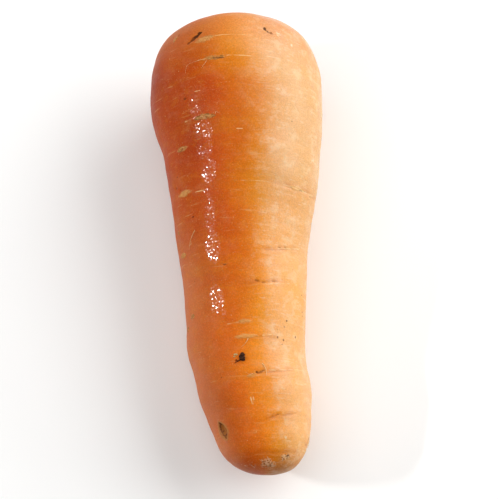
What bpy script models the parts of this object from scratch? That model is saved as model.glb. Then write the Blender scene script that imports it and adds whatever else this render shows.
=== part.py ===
"""A topped carrot lying on its side: one storage root, grown as one piece.

Metres, +Z up. The root lies along Y, with the crown, where its leaves grew, at +Y
and the blunt tip at -Y. It rests on two small flat spots of its underside, one
below the shoulder and one near the tip. The origin is the middle of the bottom
face of its bounding box.

The skin is lofted from rings. A table of stations gives the outline seen from above
and from the side, and formulas add the rest: a lobed section, dents, the creases
that side roots leave, their low scars, and the stalk bases in the crown's cup.
Angles go round the root from +X over the top: 90 degrees is the highest line.
"""

import math
import random

import bmesh
import bpy
import numpy as np

MM = 0.001

# Stations down the root in millimetres: distance from the crown's rim to the ring,
# then the ring's left and right edges (X) and its lowest and highest lines (Z).
# A low line under 0 is pressed flat where the root rests.
STATIONS = (
    (0.0, -11.2, 11.0, 18.5, 40.5),
    (1.2, -17.2, 17.6, 13.0, 47.0),
    (4.4, -23.2, 23.5, 6.6, 52.0),
    (9.6, -27.0, 27.0, 2.5, 55.0),
    (17.0, -28.7, 28.9, -0.3, 56.6),
    (27.0, -29.1, 29.4, -1.1, 56.6),
    (35.5, -28.0, 29.2, -0.7, 55.4),
    (44.0, -25.3, 28.4, 0.5, 53.4),
    (54.0, -23.5, 27.8, 1.6, 51.2),
    (65.0, -21.5, 25.9, 2.4, 48.3),
    (77.0, -20.1, 23.9, 2.9, 45.7),
    (88.0, -18.4, 23.4, 2.7, 43.5),
    (101.0, -17.1, 23.3, 1.8, 41.0),
    (109.5, -16.7, 23.1, 0.8, 39.6),
    (116.0, -15.4, 23.5, 0.1, 38.4),
    (123.0, -13.7, 25.0, -0.3, 37.6),
    (130.5, -11.2, 24.8, 0.1, 36.6),
    (138.0, -7.9, 24.4, 2.4, 35.4),
    (144.6, -4.9, 22.5, 6.4, 33.8),
    (148.6, -1.1, 20.0, 10.8, 31.8),
    (150.8, 4.0, 16.4, 15.6, 28.2),
    (151.6, 10.2, 10.2, 21.6, 21.6),
)

# Grid of the skin
SEGMENTS = 64  # quads round a full ring
RING_PITCH = 3.6  # distance between rings along the skin
NEAREST_RINGS = 0.55  # closer rings than this share of the crease width are one
CUP_RING_PITCH = 0.62
WIDEST_HALVING = 5.6  # rings smaller than this radius have half the quads, and so on

# Cup in the crown, with the cut bases of the leaf stalks on its floor
CUP_RADIUS = 11.0
CUP_DEPTH = 4.2
BUD_RADIUS = 1.5
BUD_HEIGHT = 1.6
STALK_BASES = 9
STALK_FIRST = 2.9  # distance of the innermost base from the bud's middle
STALK_STEP = 0.62  # how much further out each base is than the one before
STALK_TURN = 137.5  # degrees from one leaf to the next
STALK_HALF_THICKNESS = 0.62
STALK_HALF_SPAN = 33.0  # degrees
STALK_HEIGHT = 1.7
STALK_FLATNESS = 1.5  # over 1, the cut ends are level

# Section lobes: waves round the ring, height, phase and twist along the root
LOBES = (
    (2, 0.30, 0.6, 0.020),
    (3, 0.34, 2.2, -0.014),
    (5, 0.16, 4.1, 0.031),
    (7, 0.07, 1.0, -0.045),
)

# Slants of the growth rings, which the creases follow: waves round the root, how far
# they shift along it, phase, and twist along the root
SLANTS = (
    (1, 1.10, 2.0, 0.021),
    (2, 0.80, 0.4, -0.034),
    (3, 0.45, 3.7, 0.050),
)

# Broad swellings (+) and dents (-): distance down, angle, reach down and round, height
SWELLINGS = (
    (19.0, 128.0, 14.0, 16.0, 0.55),
    (45.0, 122.0, 10.0, 9.0, -0.55),
    (70.0, 66.0, 10.0, 11.0, -0.45),
    (82.5, 120.0, 7.0, 10.0, 0.35),
    (93.0, 74.0, 6.0, 9.0, 0.50),
    (112.0, 165.0, 5.0, 8.0, 0.35),
    (119.0, 172.0, 3.2, 8.0, -0.45),
    (123.0, 60.0, 7.0, 8.0, 0.55),
    (133.5, 140.0, 6.0, 6.0, -0.40),
    (57.5, 250.0, 12.0, 12.0, -0.50),
    (91.0, 300.0, 9.0, 10.0, 0.40),
    (31.5, 330.0, 10.0, 12.0, -0.45),
    (14.5, 215.0, 9.0, 12.0, 0.45),
)

# Creases across the root: distance down, middle angle, half span, depth
CREASE_WIDTH = 0.9
CREASES = (
    (13.5, 100.0, 40.0, 0.30),
    (22.5, 104.0, 44.0, 0.32),
    (62.5, 42.0, 34.0, 0.42),
    (82.5, 56.0, 36.0, 0.36),
    (94.0, 76.0, 38.0, 0.46),
    (106.2, 96.0, 28.0, 0.32),
    (111.5, 92.0, 42.0, 0.38),
    (123.0, 84.0, 42.0, 0.50),
    (136.0, 66.0, 40.0, 0.44),
    (146.0, 84.0, 46.0, 0.36),
)
BACK_SEED = 11
BACK_SPREAD = 75.0  # degrees to each side of the lowest line

# Scars of side roots: distance down, angle, half length round, half width, height
SCAR_HEIGHT = 0.28
SCARS = (
    (14.8, 114.0, 3.6, 1.4),
    (22.5, 106.0, 4.6, 1.2),
    (41.4, 114.5, 4.2, 1.6),
    (50.0, 140.0, 3.0, 1.5),
    (64.0, 143.0, 3.4, 1.8),
    (62.5, 39.0, 4.6, 1.2),
    (106.2, 92.0, 3.4, 1.2),
    (111.5, 90.0, 5.2, 1.3),
    (123.0, 85.0, 3.8, 1.2),
)

# Wound near the tip, a slit that healed with a raised rim
WOUND_DOWN = 139.0
WOUND_ANGLE = 147.0
WOUND_HALF_LENGTH = 2.9
WOUND_HALF_WIDTH = 1.2
WOUND_DEPTH = 1.0
WOUND_RIM = 0.25

SKIN_COLOUR = (0.72, 0.20, 0.035, 1.0)
SKIN_ROUGHNESS = 0.42


def smooth_through(knots, steps):
    """A Catmull-Rom curve through the knots, with an even share of steps each."""
    knots = np.asarray(knots, float)
    first = 2 * knots[0] - knots[1]
    last = 2 * knots[-1] - knots[-2]
    padded = np.vstack([first, knots, last])
    share = np.linspace(0, 1, steps, endpoint=False)[:, None]
    spans = []
    for before, start, end, after in zip(padded, padded[1:], padded[2:], padded[3:]):
        spans.append(
            start
            + 0.5 * share * (end - before)
            + share**2 * (before - 2.5 * start + 2 * end - 0.5 * after)
            + share**3 * (1.5 * (start - end) + 0.5 * (after - before))
        )
    return np.vstack([*spans, knots[-1:]])


def outline():
    """The stations joined smoothly, with the length of skin from the rim to each row."""
    rows = smooth_through(STATIONS, 24)
    rows[:, 0] = np.maximum.accumulate(rows[:, 0])
    reach = (rows[:, 2] - rows[:, 1] + rows[:, 4] - rows[:, 3]) / 4
    steps = np.hypot(np.diff(rows[:, 0]), np.diff(reach))
    return rows, np.concatenate([[0.0], np.cumsum(steps)])


def waves_round(table, down, angles):
    """The sum of a table's waves round the root: waves, height, phase and twist."""
    radians = np.radians(angles)
    return sum(
        height * np.cos(waves * radians + phase + twist * down)
        for waves, height, phase, twist in table
    )


def ring_through(down, angle):
    """The ring, by its distance down before its slant, that passes through a place."""
    return down - waves_round(SLANTS, down, angle)


def all_creases():
    """The creases by their rings, with one more on the underside of each ring."""
    draw = random.Random(BACK_SEED)
    made = []
    for down, angle, span, depth in CREASES:
        ring = ring_through(down, angle)
        made.append((ring, angle, span, depth))
        angle = 270.0 + draw.uniform(-BACK_SPREAD, BACK_SPREAD)
        made.append((ring, angle, draw.uniform(22.0, 48.0), draw.uniform(0.25, 0.45)))
    return made


def ring_lengths(rows, lengths, creases):
    """Where the rings go along the skin: evenly, and three at each crease."""
    count = round(lengths[-1] / RING_PITCH)
    places = list(lengths[-1] * np.arange(count) / count)
    for down, *_ in creases:
        middle = np.interp(down, rows[:, 0], lengths)
        places = [p for p in places if abs(p - middle) > 1.9 * CREASE_WIDTH]
        places += [middle - CREASE_WIDTH, middle, middle + CREASE_WIDTH]
    kept = [0.0]
    for place in sorted(places):
        if place - kept[-1] > NEAREST_RINGS * CREASE_WIDTH and place < lengths[-1] - 1:
            kept.append(place)
    return np.array(kept)


def angle_gap(angles, middle):
    """Signed difference of angles in degrees, from -180 to 180."""
    return (angles - middle + 180.0) % 360.0 - 180.0


def bell(value):
    return np.exp(-(value**2))


def relief(down, angles, reach, creases):
    """How far the skin stands out (+) or sinks in (-), for each point of each ring."""
    out = waves_round(LOBES, down, angles)
    for place, angle, along, around, height in SWELLINGS:
        gap = np.radians(angle_gap(angles, angle)) * reach
        out += height * bell((down - place) / along) * bell(gap / around)
    for ring, angle, span, depth in creases:
        fade = bell(angle_gap(angles, angle) / span)
        out -= depth * fade * bell((down - ring) / CREASE_WIDTH)
    for place, angle, half_length, half_width in SCARS:
        along = (down - ring_through(place, angle)) / half_width
        gap = np.radians(angle_gap(angles, angle)) * reach
        out += SCAR_HEIGHT * bell(along) * bell(gap / half_length)
    along = (down - ring_through(WOUND_DOWN, WOUND_ANGLE)) / WOUND_HALF_LENGTH
    gap = np.radians(angle_gap(angles, WOUND_ANGLE)) * reach
    away = np.hypot(along, gap / WOUND_HALF_WIDTH)
    return out - WOUND_DEPTH * bell(away**2) + WOUND_RIM * bell((away - 1.6) / 0.5)


def skin_rings(creases):
    """The rings from the crown's rim to the tip, as (rings, segments, 3) points."""
    rows, lengths = outline()
    places = ring_lengths(rows, lengths, creases)[:, None]
    angles = np.arange(SEGMENTS)[None, :] * 360.0 / SEGMENTS
    down, left, right, low, high = (np.interp(places, lengths, c) for c in rows.T)
    # Relief and slants fade out towards the rim and the tip, where the rings close up
    reach = (right - left + high - low) / 4
    fade = np.clip((reach - CUP_RADIUS / 2) / CUP_RADIUS, 0.0, 1.0)
    out = relief(down, angles, reach, creases) * fade
    places = places + waves_round(SLANTS, down, angles) * fade
    down, left, right, low, high = (np.interp(places, lengths, c) for c in rows.T)
    x = (left + right) / 2 + ((right - left) / 2 + out) * np.cos(np.radians(angles))
    z = (low + high) / 2 + ((high - low) / 2 + out) * np.sin(np.radians(angles))
    return np.stack([x, -down, z], axis=2)


def stalk_height(radius, angles):
    """Height of the bud and the cut stalk bases: crescents set in a spiral."""
    tallest = BUD_HEIGHT * bell(radius / BUD_RADIUS) * np.ones_like(angles)
    for rank in range(STALK_BASES):
        across = (radius - STALK_FIRST - rank * STALK_STEP) / STALK_HALF_THICKNESS
        along = angle_gap(angles, rank * STALK_TURN) / STALK_HALF_SPAN
        crescent = bell(across) * bell(along**2)
        cut = STALK_HEIGHT * np.minimum(STALK_FLATNESS * crescent, 1.0)
        tallest = np.maximum(tallest, cut)
    return tallest


def cup_rings(rim):
    """The cup from its middle to just inside the rim: the middle point, and rings."""
    middle = rim.mean(axis=0)
    count = round(CUP_RADIUS / CUP_RING_PITCH)
    rings = []
    for share in np.arange(count) / count:
        radius = share * CUP_RADIUS
        skip = ring_skip(radius)
        angles = np.arange(0, SEGMENTS, skip) * 360.0 / SEGMENTS
        ring = middle + (rim[::skip] - middle) * share
        ring[:, 1] = middle[1] - CUP_DEPTH * (1 + math.cos(math.pi * share)) / 2
        ring[:, 1] += stalk_height(radius, angles)
        rings.append(ring)
    return rings[0][0], rings[1:]


def ring_skip(radius):
    """Small rings use every second point, or every fourth and so on."""
    halvings = math.ceil(math.log2(WIDEST_HALVING / max(radius, 0.5)))
    return 2 ** min(max(halvings, 0), 3)


def laid_down(points):
    """The points with the underside pressed flat, over the origin, in metres."""
    points = points.copy()
    points[:, 2] = np.maximum(points[:, 2], 0.0)
    for axis in (0, 1):
        points[:, axis] -= (points[:, axis].min() + points[:, axis].max()) / 2
    return points * MM


def strip(made, one, other):
    """Faces between two rings, of which one may have half the points of the other."""
    fine, coarse = (one, other) if len(one) >= len(other) else (other, one)
    skip = len(fine) // len(coarse)
    for k, start in enumerate(coarse):
        end = coarse[(k + 1) % len(coarse)]
        steps = [fine[(k * skip + step) % len(fine)] for step in range(skip + 1)]
        if skip == 1:
            made.faces.new((start, end, steps[1], steps[0]))
        else:
            made.faces.new((start, steps[1], steps[0]))
            made.faces.new((start, end, steps[1]))
            made.faces.new((end, steps[2], steps[1]))


def loft(name, first_pole, rings, last_pole):
    """One closed mesh: a fan at each pole, and faces between neighbouring rings."""
    points = laid_down(np.vstack([first_pole, *rings, last_pole]))
    made = bmesh.new()
    verts = [made.verts.new(point) for point in points]
    ends = 1 + np.cumsum([len(ring) for ring in rings])
    loops = [verts[end - len(ring) : end] for end, ring in zip(ends, rings)]
    for near, far in zip(loops, loops[1:]):
        strip(made, near, far)
    for pole, loop in ((verts[0], loops[0]), (verts[-1], loops[-1])):
        for k, point in enumerate(loop):
            made.faces.new((pole, point, loop[(k + 1) % len(loop)]))
    bmesh.ops.recalc_face_normals(made, faces=made.faces)
    mesh = bpy.data.meshes.new(name)
    made.to_mesh(mesh)
    made.free()
    mesh.shade_smooth()
    obj = bpy.data.objects.new(name, mesh)
    bpy.context.scene.collection.objects.link(obj)
    return obj


def skin_material():
    material = bpy.data.materials.new("carrot_skin")
    material.use_nodes = True
    shader = material.node_tree.nodes["Principled BSDF"]
    shader.inputs["Base Color"].default_value = SKIN_COLOUR
    shader.inputs["Roughness"].default_value = SKIN_ROUGHNESS
    return material


def main():
    for obj in list(bpy.data.objects):
        bpy.data.objects.remove(obj)
    skin = skin_rings(all_creases())
    cup_middle, cup = cup_rings(skin[0])
    tip = np.array([STATIONS[-1][1], -STATIONS[-1][0], STATIONS[-1][3]])
    carrot = loft("carrot", cup_middle, [*cup, *skin], tip)
    carrot.data.materials.append(skin_material())


main()
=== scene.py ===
# %% [markdown]
# # A topped carrot
#
# This lesson dresses one carrot: a whole root, washed, with its leaves cut off, lying on its
# side. A solid model with the root's true size and place is loaded first, and never changed.
# Everything after it adds what the eye wants: fine skin, creases, scars, a dried crown, colour
# and shine. Lengths are written in millimetres and turned into Blender's metres by MM.

# %% Load the solid root
import math
import random

import bmesh
import bpy
import numpy as np
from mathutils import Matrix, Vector, noise as turbulence
from mathutils.bvhtree import BVHTree


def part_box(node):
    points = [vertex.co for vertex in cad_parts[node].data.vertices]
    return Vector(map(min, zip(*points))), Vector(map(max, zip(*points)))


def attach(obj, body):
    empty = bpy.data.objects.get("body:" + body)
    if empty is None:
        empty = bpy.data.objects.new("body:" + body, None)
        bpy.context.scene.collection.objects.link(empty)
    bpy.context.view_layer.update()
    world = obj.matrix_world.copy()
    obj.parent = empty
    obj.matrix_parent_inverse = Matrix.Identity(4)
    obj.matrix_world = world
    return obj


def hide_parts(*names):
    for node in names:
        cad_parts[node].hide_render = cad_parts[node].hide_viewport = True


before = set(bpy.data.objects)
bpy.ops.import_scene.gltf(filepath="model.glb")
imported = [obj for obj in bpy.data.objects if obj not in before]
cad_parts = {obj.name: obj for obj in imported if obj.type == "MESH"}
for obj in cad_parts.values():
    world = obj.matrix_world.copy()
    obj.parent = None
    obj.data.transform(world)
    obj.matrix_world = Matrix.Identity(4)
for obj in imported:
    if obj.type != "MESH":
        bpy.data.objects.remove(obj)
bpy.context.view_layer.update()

MM = 0.001
low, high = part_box("carrot")
size = (high - low) / MM
print(f"solid root: {size.x:.1f} x {size.y:.1f} x {size.z:.1f} mm")


def new_object(name, data):
    """Puts a mesh, a light or a camera in the scene."""
    made = bpy.data.objects.new(name, data)
    bpy.context.scene.collection.objects.link(made)
    return made


def look_along(thing, direction):
    """Turns a camera or a light to face that way."""
    thing.rotation_mode = "QUATERNION"
    thing.rotation_quaternion = direction.to_track_quat("-Z", "Y")


# %% [markdown]
# ## Camera
#
# A camera can be placed by eye, or from a few numbers: how far away it is, how steeply it
# looks down, its lens, and how far the subject sits off the middle of the picture. The second
# way is used, so that each number can be changed alone.

# %% Camera
CAMERA_ELEVATION = math.radians(74)
CAMERA_DISTANCE = 430 * MM
CAMERA_LENS = 93.2
SUBJECT_LEFT = 4.6 * MM
SUBJECT_UP = 2.85 * MM

looking = Vector((0, math.cos(CAMERA_ELEVATION), -math.sin(CAMERA_ELEVATION)))
picture_up = Vector((0, math.sin(CAMERA_ELEVATION), math.cos(CAMERA_ELEVATION)))
aim = (low + high) / 2 + Vector((SUBJECT_LEFT, 0, 0)) - picture_up * SUBJECT_UP
camera = new_object("camera", bpy.data.cameras.new("camera"))
camera.data.lens = CAMERA_LENS
camera.data.clip_start = 0.01
camera.location = aim - looking * CAMERA_DISTANCE
look_along(camera, looking)
bpy.context.scene.camera = camera
print("camera at", [round(x, 3) for x in camera.location])

# %% [markdown]
# ## Light and floor
#
# The root lies on a plain pale surface. A very large soft light on its right gives the pale,
# hazy side, a small hard light on its left makes the band of sparkles on the moist skin, and
# the surroundings fill the shadows. Each light is given by how bright its face looks, in
# units where a white surface in full light is 1, because that is what a reflection shows.

# %% Light and floor
def area_light(name, place, width, height, brightness):
    """A flat light of that size, facing the root, as bright as brightness times white."""
    light = bpy.data.lights.new(name, "AREA")
    light.shape = "RECTANGLE"
    light.size = width
    light.size_y = height
    light.energy = brightness * math.pi * width * height
    lamp = new_object(name, light)
    lamp.location = place
    look_along(lamp, aim - Vector(place))


area_light("window_light", (0.67, 0.26, 0.21), 0.9, 0.42, 3.75)
area_light("upper_window_light", (0.46, 0.26, 0.56), 0.9, 0.36, 3.9)
area_light("fill_light", (-0.25, 0.05, 0.85), 0.8, 0.8, 1.65)
area_light("sparkle_light", (-0.470, -0.045, 0.372), 0.06, 0.008, 780.0)

world = bpy.data.worlds.new("surroundings")
world.use_nodes = True
surroundings = world.node_tree.nodes["Background"]
surroundings.inputs["Color"].default_value = (1, 1, 1, 1)
surroundings.inputs["Strength"].default_value = 0.10
bpy.context.scene.world = world
bpy.context.scene.view_settings.view_transform = "Standard"

FLOOR_HALF = 1.5
FLOOR_GAP = 0.0001
floor_mesh = bpy.data.meshes.new("floor")
corners = [(-1, -1), (1, -1), (1, 1), (-1, 1)]
floor_mesh.from_pydata(
    [(FLOOR_HALF * x, FLOOR_HALF * y, low.z - FLOOR_GAP) for x, y in corners],
    [],
    [(0, 1, 2, 3)],
)
floor = new_object("floor", floor_mesh)
floor_material = bpy.data.materials.new("pale_floor")
floor_material.use_nodes = True
floor_shader = floor_material.node_tree.nodes["Principled BSDF"]
floor_shader.inputs["Base Color"].default_value = (0.93, 0.93, 0.92, 1)
floor_shader.inputs["Roughness"].default_value = 0.7
floor_mesh.materials.append(floor_material)
print(f"floor {2 * FLOOR_HALF:.0f} m wide, {FLOOR_GAP / MM:.1f} mm under the root")

# %% [markdown]
# ## Feeling the solid root
#
# The solid is made of flat faces a few millimetres wide, too coarse to show. A finer skin
# could be modelled again from nothing, but then it might not fit. Instead the solid is felt
# from inside: rays leave points on its middle line, and where they come out is the skin. A
# ring of rays makes a ring of skin points. At the shoulder and the tip the rings of rays
# close like an umbrella until they point along the root.

# %% Feel the solid from inside
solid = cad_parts["carrot"]
solid_points = np.array([v.co[:] for v in solid.data.vertices])
solid_faces = [tuple(p.vertices) for p in solid.data.polygons]
surface = BVHTree.FromPolygons([Vector(p) for p in solid_points], solid_faces)


def felt(start, direction):
    """Where a ray from inside the root comes out."""
    return surface.ray_cast(Vector(start), Vector(direction))[0]


def section_middle(y):
    """The middle of the root's section at y, from its two sides, its top and underside."""
    middle = Vector((0, y, (low.z + high.z) / 2))
    for _ in range(3):
        left, right = felt(middle, (-1, 0, 0)), felt(middle, (1, 0, 0))
        under, top = felt(middle, (0, 0, -1)), felt(middle, (0, 0, 1))
        middle = Vector(((left.x + right.x) / 2, y, (under.z + top.z) / 2))
    return middle


CUP_RADIUS = 11.0 * MM
RIM_HALF_WIDTH = 1.5 * MM
RIM_BELOW_TOP = 1.3 * MM
CROWN_END, TIP_END = 8 * MM, 6 * MM
SECTIONS = 36
SMOOTHINGS = 4
crown_middle = section_middle(high.y - 6 * MM)
from_crown = np.hypot(solid_points[:, 0] - crown_middle.x, solid_points[:, 2] - crown_middle.z)
on_top = solid_points[:, 1] > high.y - RIM_BELOW_TOP
rim_points = solid_points[on_top & (np.abs(from_crown - CUP_RADIUS) < RIM_HALF_WIDTH)]
rim_middle = Vector(rim_points.mean(axis=0))
print(f"the cup's rim is {(high.y - rim_middle.y) / MM:.1f} mm below the highest stalk")

middle_ys = np.linspace(low.y + TIP_END, high.y - CROWN_END, SECTIONS)
middles = np.array([section_middle(y) for y in middle_ys])
for _ in range(SMOOTHINGS):
    middles[1:-1] = (middles[:-2] + 2 * middles[1:-1] + middles[2:]) / 4


def middle_line(y):
    """The smoothed middle line of the root at y, or at each of several ys."""
    return np.stack(
        [np.interp(y, middle_ys, middles[:, 0]), y, np.interp(y, middle_ys, middles[:, 2])],
        axis=-1,
    )


# %% [markdown]
# ## Rings of skin
#
# A mesh shows a crease only if its rings are closer together than the crease is wide, and it
# wastes points where the skin is plain. So the rings are spaced by the length of skin between
# them, and stand closer at each crease. The list of creases says where each one crosses the
# root: how far down from the crown, at which angle round it, how far it reaches to each side,
# how it slants, and how deep it is. Angles go round the root from its right side over the
# top: 90 degrees is the highest line.

# %% Creases
# down mm, angle, half span in degrees, slant mm for each 10 degrees, depth mm, darkness
CREASES = (
    (62.0, 36.0, 30.0, 0.00, 0.20, 0.20),
    (82.2, 50.0, 22.0, 0.60, 0.14, 0.35),
    (93.6, 70.0, 24.0, 0.40, 0.11, 0.28),
    (106.2, 98.0, 12.0, 0.00, 0.08, 0.10),
    (110.9, 76.0, 15.0, 0.00, 0.10, 0.15),
    (121.6, 66.0, 32.0, 0.55, 0.18, 0.20),
    (135.4, 66.0, 24.0, 0.80, 0.11, 0.26),
    (146.5, 72.0, 40.0, 0.10, 0.08, 0.20),
)
BACK_CREASES = 13
back_draw = random.Random(7)
back_creases = tuple(
    (
        12.0 + 136.0 * (rank + back_draw.uniform(0.15, 0.85)) / BACK_CREASES,
        back_draw.uniform(195.0, 345.0),
        back_draw.uniform(18.0, 44.0),
        back_draw.uniform(-0.5, 0.5),
        back_draw.uniform(0.10, 0.34),
        back_draw.uniform(0.1, 0.7),
    )
    for rank in range(BACK_CREASES)
)
creases = CREASES + back_creases
print(len(creases), "creases")

# %% Rings of skin
SIDES = 288
CUP_RING_GAP = 0.36 * MM
RING_GAP = 0.78 * MM
CREASE_RING_GAP = 0.44 * MM
CREASE_REACH = 2.2 * MM
SHOULDER_DEPTH = 27 * MM
TIP_DEPTH = 19 * MM
SHOULDER_STEPS, BODY_STEPS, TIP_STEPS = 90, 420, 90

shoulder_y = high.y - SHOULDER_DEPTH
tip_y = low.y + TIP_DEPTH
tip_start = middle_line(tip_y)
tip_end = solid_points[solid_points[:, 1].argmin()]
tip_axis = (tip_end - tip_start) / np.linalg.norm(tip_end - tip_start)
shoulder_start = middle_line(shoulder_y)
crown_axis = np.array(rim_middle) - shoulder_start
rim_tilt = math.atan2(np.linalg.norm(crown_axis), CUP_RADIUS)
crown_axis /= np.linalg.norm(crown_axis)


def ray_ring(share):
    """Start, tilt and axis of the ring of rays at a share of the way from rim to tip.
    Shares from 0 to 1 are the shoulder, from 1 to 2 the body and from 2 to 3 the tip."""
    if share <= 1:
        return shoulder_start, rim_tilt * (1 - share), crown_axis
    if share <= 2:
        y = shoulder_y + (tip_y - shoulder_y) * (share - 1)
        return middle_line(y), 0.0, crown_axis
    return tip_start, math.pi / 2 * (share - 2), tip_axis


def ring_radii(share, angles):
    """The directions of a ring of rays, and how far each goes before it comes out."""
    start, tilt, axis = ray_ring(share)
    across = np.stack([np.cos(angles), np.zeros_like(angles), np.sin(angles)], axis=1)
    ways = math.cos(tilt) * across + math.sin(tilt) * axis
    ways /= np.linalg.norm(ways, axis=1)[:, None]
    return start, ways, np.array([(felt(start, way) - Vector(start)).length for way in ways])


def ring_points(share, angles):
    start, ways, lengths = ring_radii(share, angles)
    return start + ways * lengths[:, None]


shares = np.concatenate([
    np.linspace(0, 1, SHOULDER_STEPS, endpoint=False),
    np.linspace(1, 2, BODY_STEPS, endpoint=False),
    np.linspace(2, 3, TIP_STEPS, endpoint=False),
])
few_angles = np.linspace(0, 2 * math.pi, 16, endpoint=False)
rough_rings = np.array([ring_points(share, few_angles) for share in shares])
gaps = np.linalg.norm(np.diff(rough_rings, axis=0), axis=2).mean(axis=1)
lengths_down = np.concatenate([[0.0], np.cumsum(gaps)])
rough_down = high.y - rough_rings[:, :, 1].mean(axis=1)

crease_lengths = [np.interp(down * MM, rough_down, lengths_down) for down, *_ in creases]
walk = [0.0]
while walk[-1] < lengths_down[-1] - RING_GAP / 2:
    nearest = min(abs(walk[-1] - place) for place in crease_lengths)
    walk.append(walk[-1] + (CREASE_RING_GAP if nearest < CREASE_REACH else RING_GAP))
ring_shares = np.interp(walk[:-1], lengths_down, shares)
print(len(ring_shares), "rings of skin from the crown's rim to the tip")

# %% [markdown]
# ## Smoothing away the flat faces
#
# The rays measure the solid so well that they find its flat faces too. The lengths of the
# rays are therefore averaged with their neighbours, with weights that follow a bell curve:
# round each ring, where it is a circular average that a Fourier transform does in one step,
# and then from ring to ring. The form stays, and the edges between faces go.

# %% Smooth the felt form
SMOOTH_ROUND = 3.4  # degrees
SMOOTH_ALONG = 1.7 * MM

angles = np.linspace(0, 2 * math.pi, SIDES, endpoint=False)
felt_rings = [ring_radii(share, angles) for share in ring_shares]
ring_starts = np.array([ring[0] for ring in felt_rings])
ring_ways = np.array([ring[1] for ring in felt_rings])
radii = np.array([ring[2] for ring in felt_rings])

waves = np.fft.rfftfreq(SIDES, 1 / SIDES)
round_weights = np.exp(-((waves * math.radians(SMOOTH_ROUND)) ** 2) / 2)
radii = np.fft.irfft(np.fft.rfft(radii, axis=1) * round_weights, SIDES, axis=1)
ring_lengths = np.array(walk[:-1])
along_weights = np.exp(
    -((ring_lengths[:, None] - ring_lengths[None, :]) / SMOOTH_ALONG) ** 2 / 2
)
along_weights /= along_weights.sum(axis=1)[:, None]
radii = along_weights @ radii
body = ring_starts[:, None, :] + ring_ways * radii[:, :, None]
tip_point = tip_start + tip_axis * radii[-1].mean()
print(f"rays from {radii.min() / MM:.1f} to {radii.max() / MM:.1f} mm long")

# %% [markdown]
# ## The crown's cup
#
# Where the leaves grew, the root has a shallow cup. On its floor are the cut bases of the leaf
# stalks: crescents, set one after another in a spiral with 137.5 degrees between them, round
# the dried bud in the middle. A formula places them, and a second one roughens their cut ends.

# %% The cup and the stalk bases
CUP_DEPTH = 4.2 * MM
BUD_RADIUS, BUD_HEIGHT = 1.5 * MM, 1.6 * MM
STALK_BASES = 9
STALK_FIRST, STALK_STEP = 2.9 * MM, 0.62 * MM
STALK_TURN = 137.5
STALK_HALF_THICKNESS = 0.66 * MM
STALK_HALF_SPAN = 34.0
STALK_HEIGHT = 1.7 * MM
STALK_FLATNESS = 1.9
STALK_RAGGED = 0.45 * MM


def angle_gap(angle, middle):
    """Signed difference of angles in degrees, from -180 to 180."""
    return (angle - middle + 180.0) % 360.0 - 180.0


def bell(value):
    return np.exp(-(value**2))


def stalk_relief(radius, degrees):
    """Height of the bud and the stalk bases over the cup's floor, and 0 to 1 where they are."""
    height = BUD_HEIGHT * bell(radius / BUD_RADIUS) * np.ones_like(degrees)
    cover = bell(radius / BUD_RADIUS) * np.ones_like(degrees)
    for rank in range(STALK_BASES):
        across = (radius - STALK_FIRST - rank * STALK_STEP) / STALK_HALF_THICKNESS
        along = angle_gap(degrees, rank * STALK_TURN) / STALK_HALF_SPAN
        crescent = bell(across) * bell(along**2)
        ragged = STALK_RAGGED * np.sin(degrees * 0.61 + rank) * np.sin(degrees * 0.23 + 2 * rank)
        top = (STALK_HEIGHT + ragged) * np.minimum(STALK_FLATNESS * crescent, 1.0)
        height = np.maximum(height, top)
        cover = np.maximum(cover, np.minimum(STALK_FLATNESS * crescent, 1.0))
    return height, cover


degrees = np.degrees(angles)
rim_ring = body[0]
cup_middle = rim_ring.mean(axis=0)
cup_shares = np.arange(1, int(CUP_RADIUS / CUP_RING_GAP)) * CUP_RING_GAP / CUP_RADIUS
cup = np.zeros((len(cup_shares), SIDES, 3))
cup_cover = np.zeros((len(cup_shares), SIDES))
for row, share in enumerate(cup_shares):
    height, cup_cover[row] = stalk_relief(share * CUP_RADIUS, degrees)
    cup[row] = cup_middle + (rim_ring - cup_middle) * share
    cup[row, :, 1] += height - CUP_DEPTH * (1 + math.cos(math.pi * share)) / 2
cup_point = cup_middle + np.array([0.0, BUD_HEIGHT - CUP_DEPTH, 0.0])

rings = np.concatenate([cup, body])
ring_count = len(rings)
print(f"{ring_count} rings of {SIDES} points, about {2 * ring_count * SIDES} triangles")

# %% [markdown]
# ## A map of the skin
#
# Each mark on the skin has a place: how far down from the crown, and at which angle. For each
# skin point the script works out both, and then, for each kind of mark, how far the point is
# from the nearest mark of that kind, in millimetres, with minus inside it. A distance is kept
# and not a yes or no, because the material can then draw a sharp or a ragged edge anywhere
# between two points.

# %% Where each skin point is
sections = middle_line(np.clip(rings[:, :, 1], middle_ys[0], middle_ys[-1]))
from_middle = rings - sections
down = (high.y - rings[:, :, 1]) / MM
around = np.degrees(np.arctan2(from_middle[:, :, 2], from_middle[:, :, 0]))
reach = np.hypot(from_middle[:, :, 0], from_middle[:, :, 2]) / MM
FAR = 9.0
SAME_SIDE = 80.0


def along_and_across(place_down, place_angle, slant=0.0):
    """Millimetres of each point from a place, turned by slant degrees: along, across."""
    x = np.radians(angle_gap(around, place_angle)) * reach
    y = down - place_down
    turn = math.radians(slant)
    along = x * math.cos(turn) + y * math.sin(turn)
    across = y * math.cos(turn) - x * math.sin(turn)
    facing = np.abs(angle_gap(around, place_angle)) < SAME_SIDE
    return np.where(facing, along, FAR), np.where(facing, across, FAR)


def lens(place_down, place_angle, half_length, half_width, slant=0.0):
    """Signed distance to a lens: pointed at both ends, as a healed side root is."""
    along, across = along_and_across(place_down, place_angle, slant)
    edge = np.abs(across) / half_width + (along / half_length) ** 2 - 1
    return np.clip(edge * half_width, -FAR, FAR)


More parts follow.
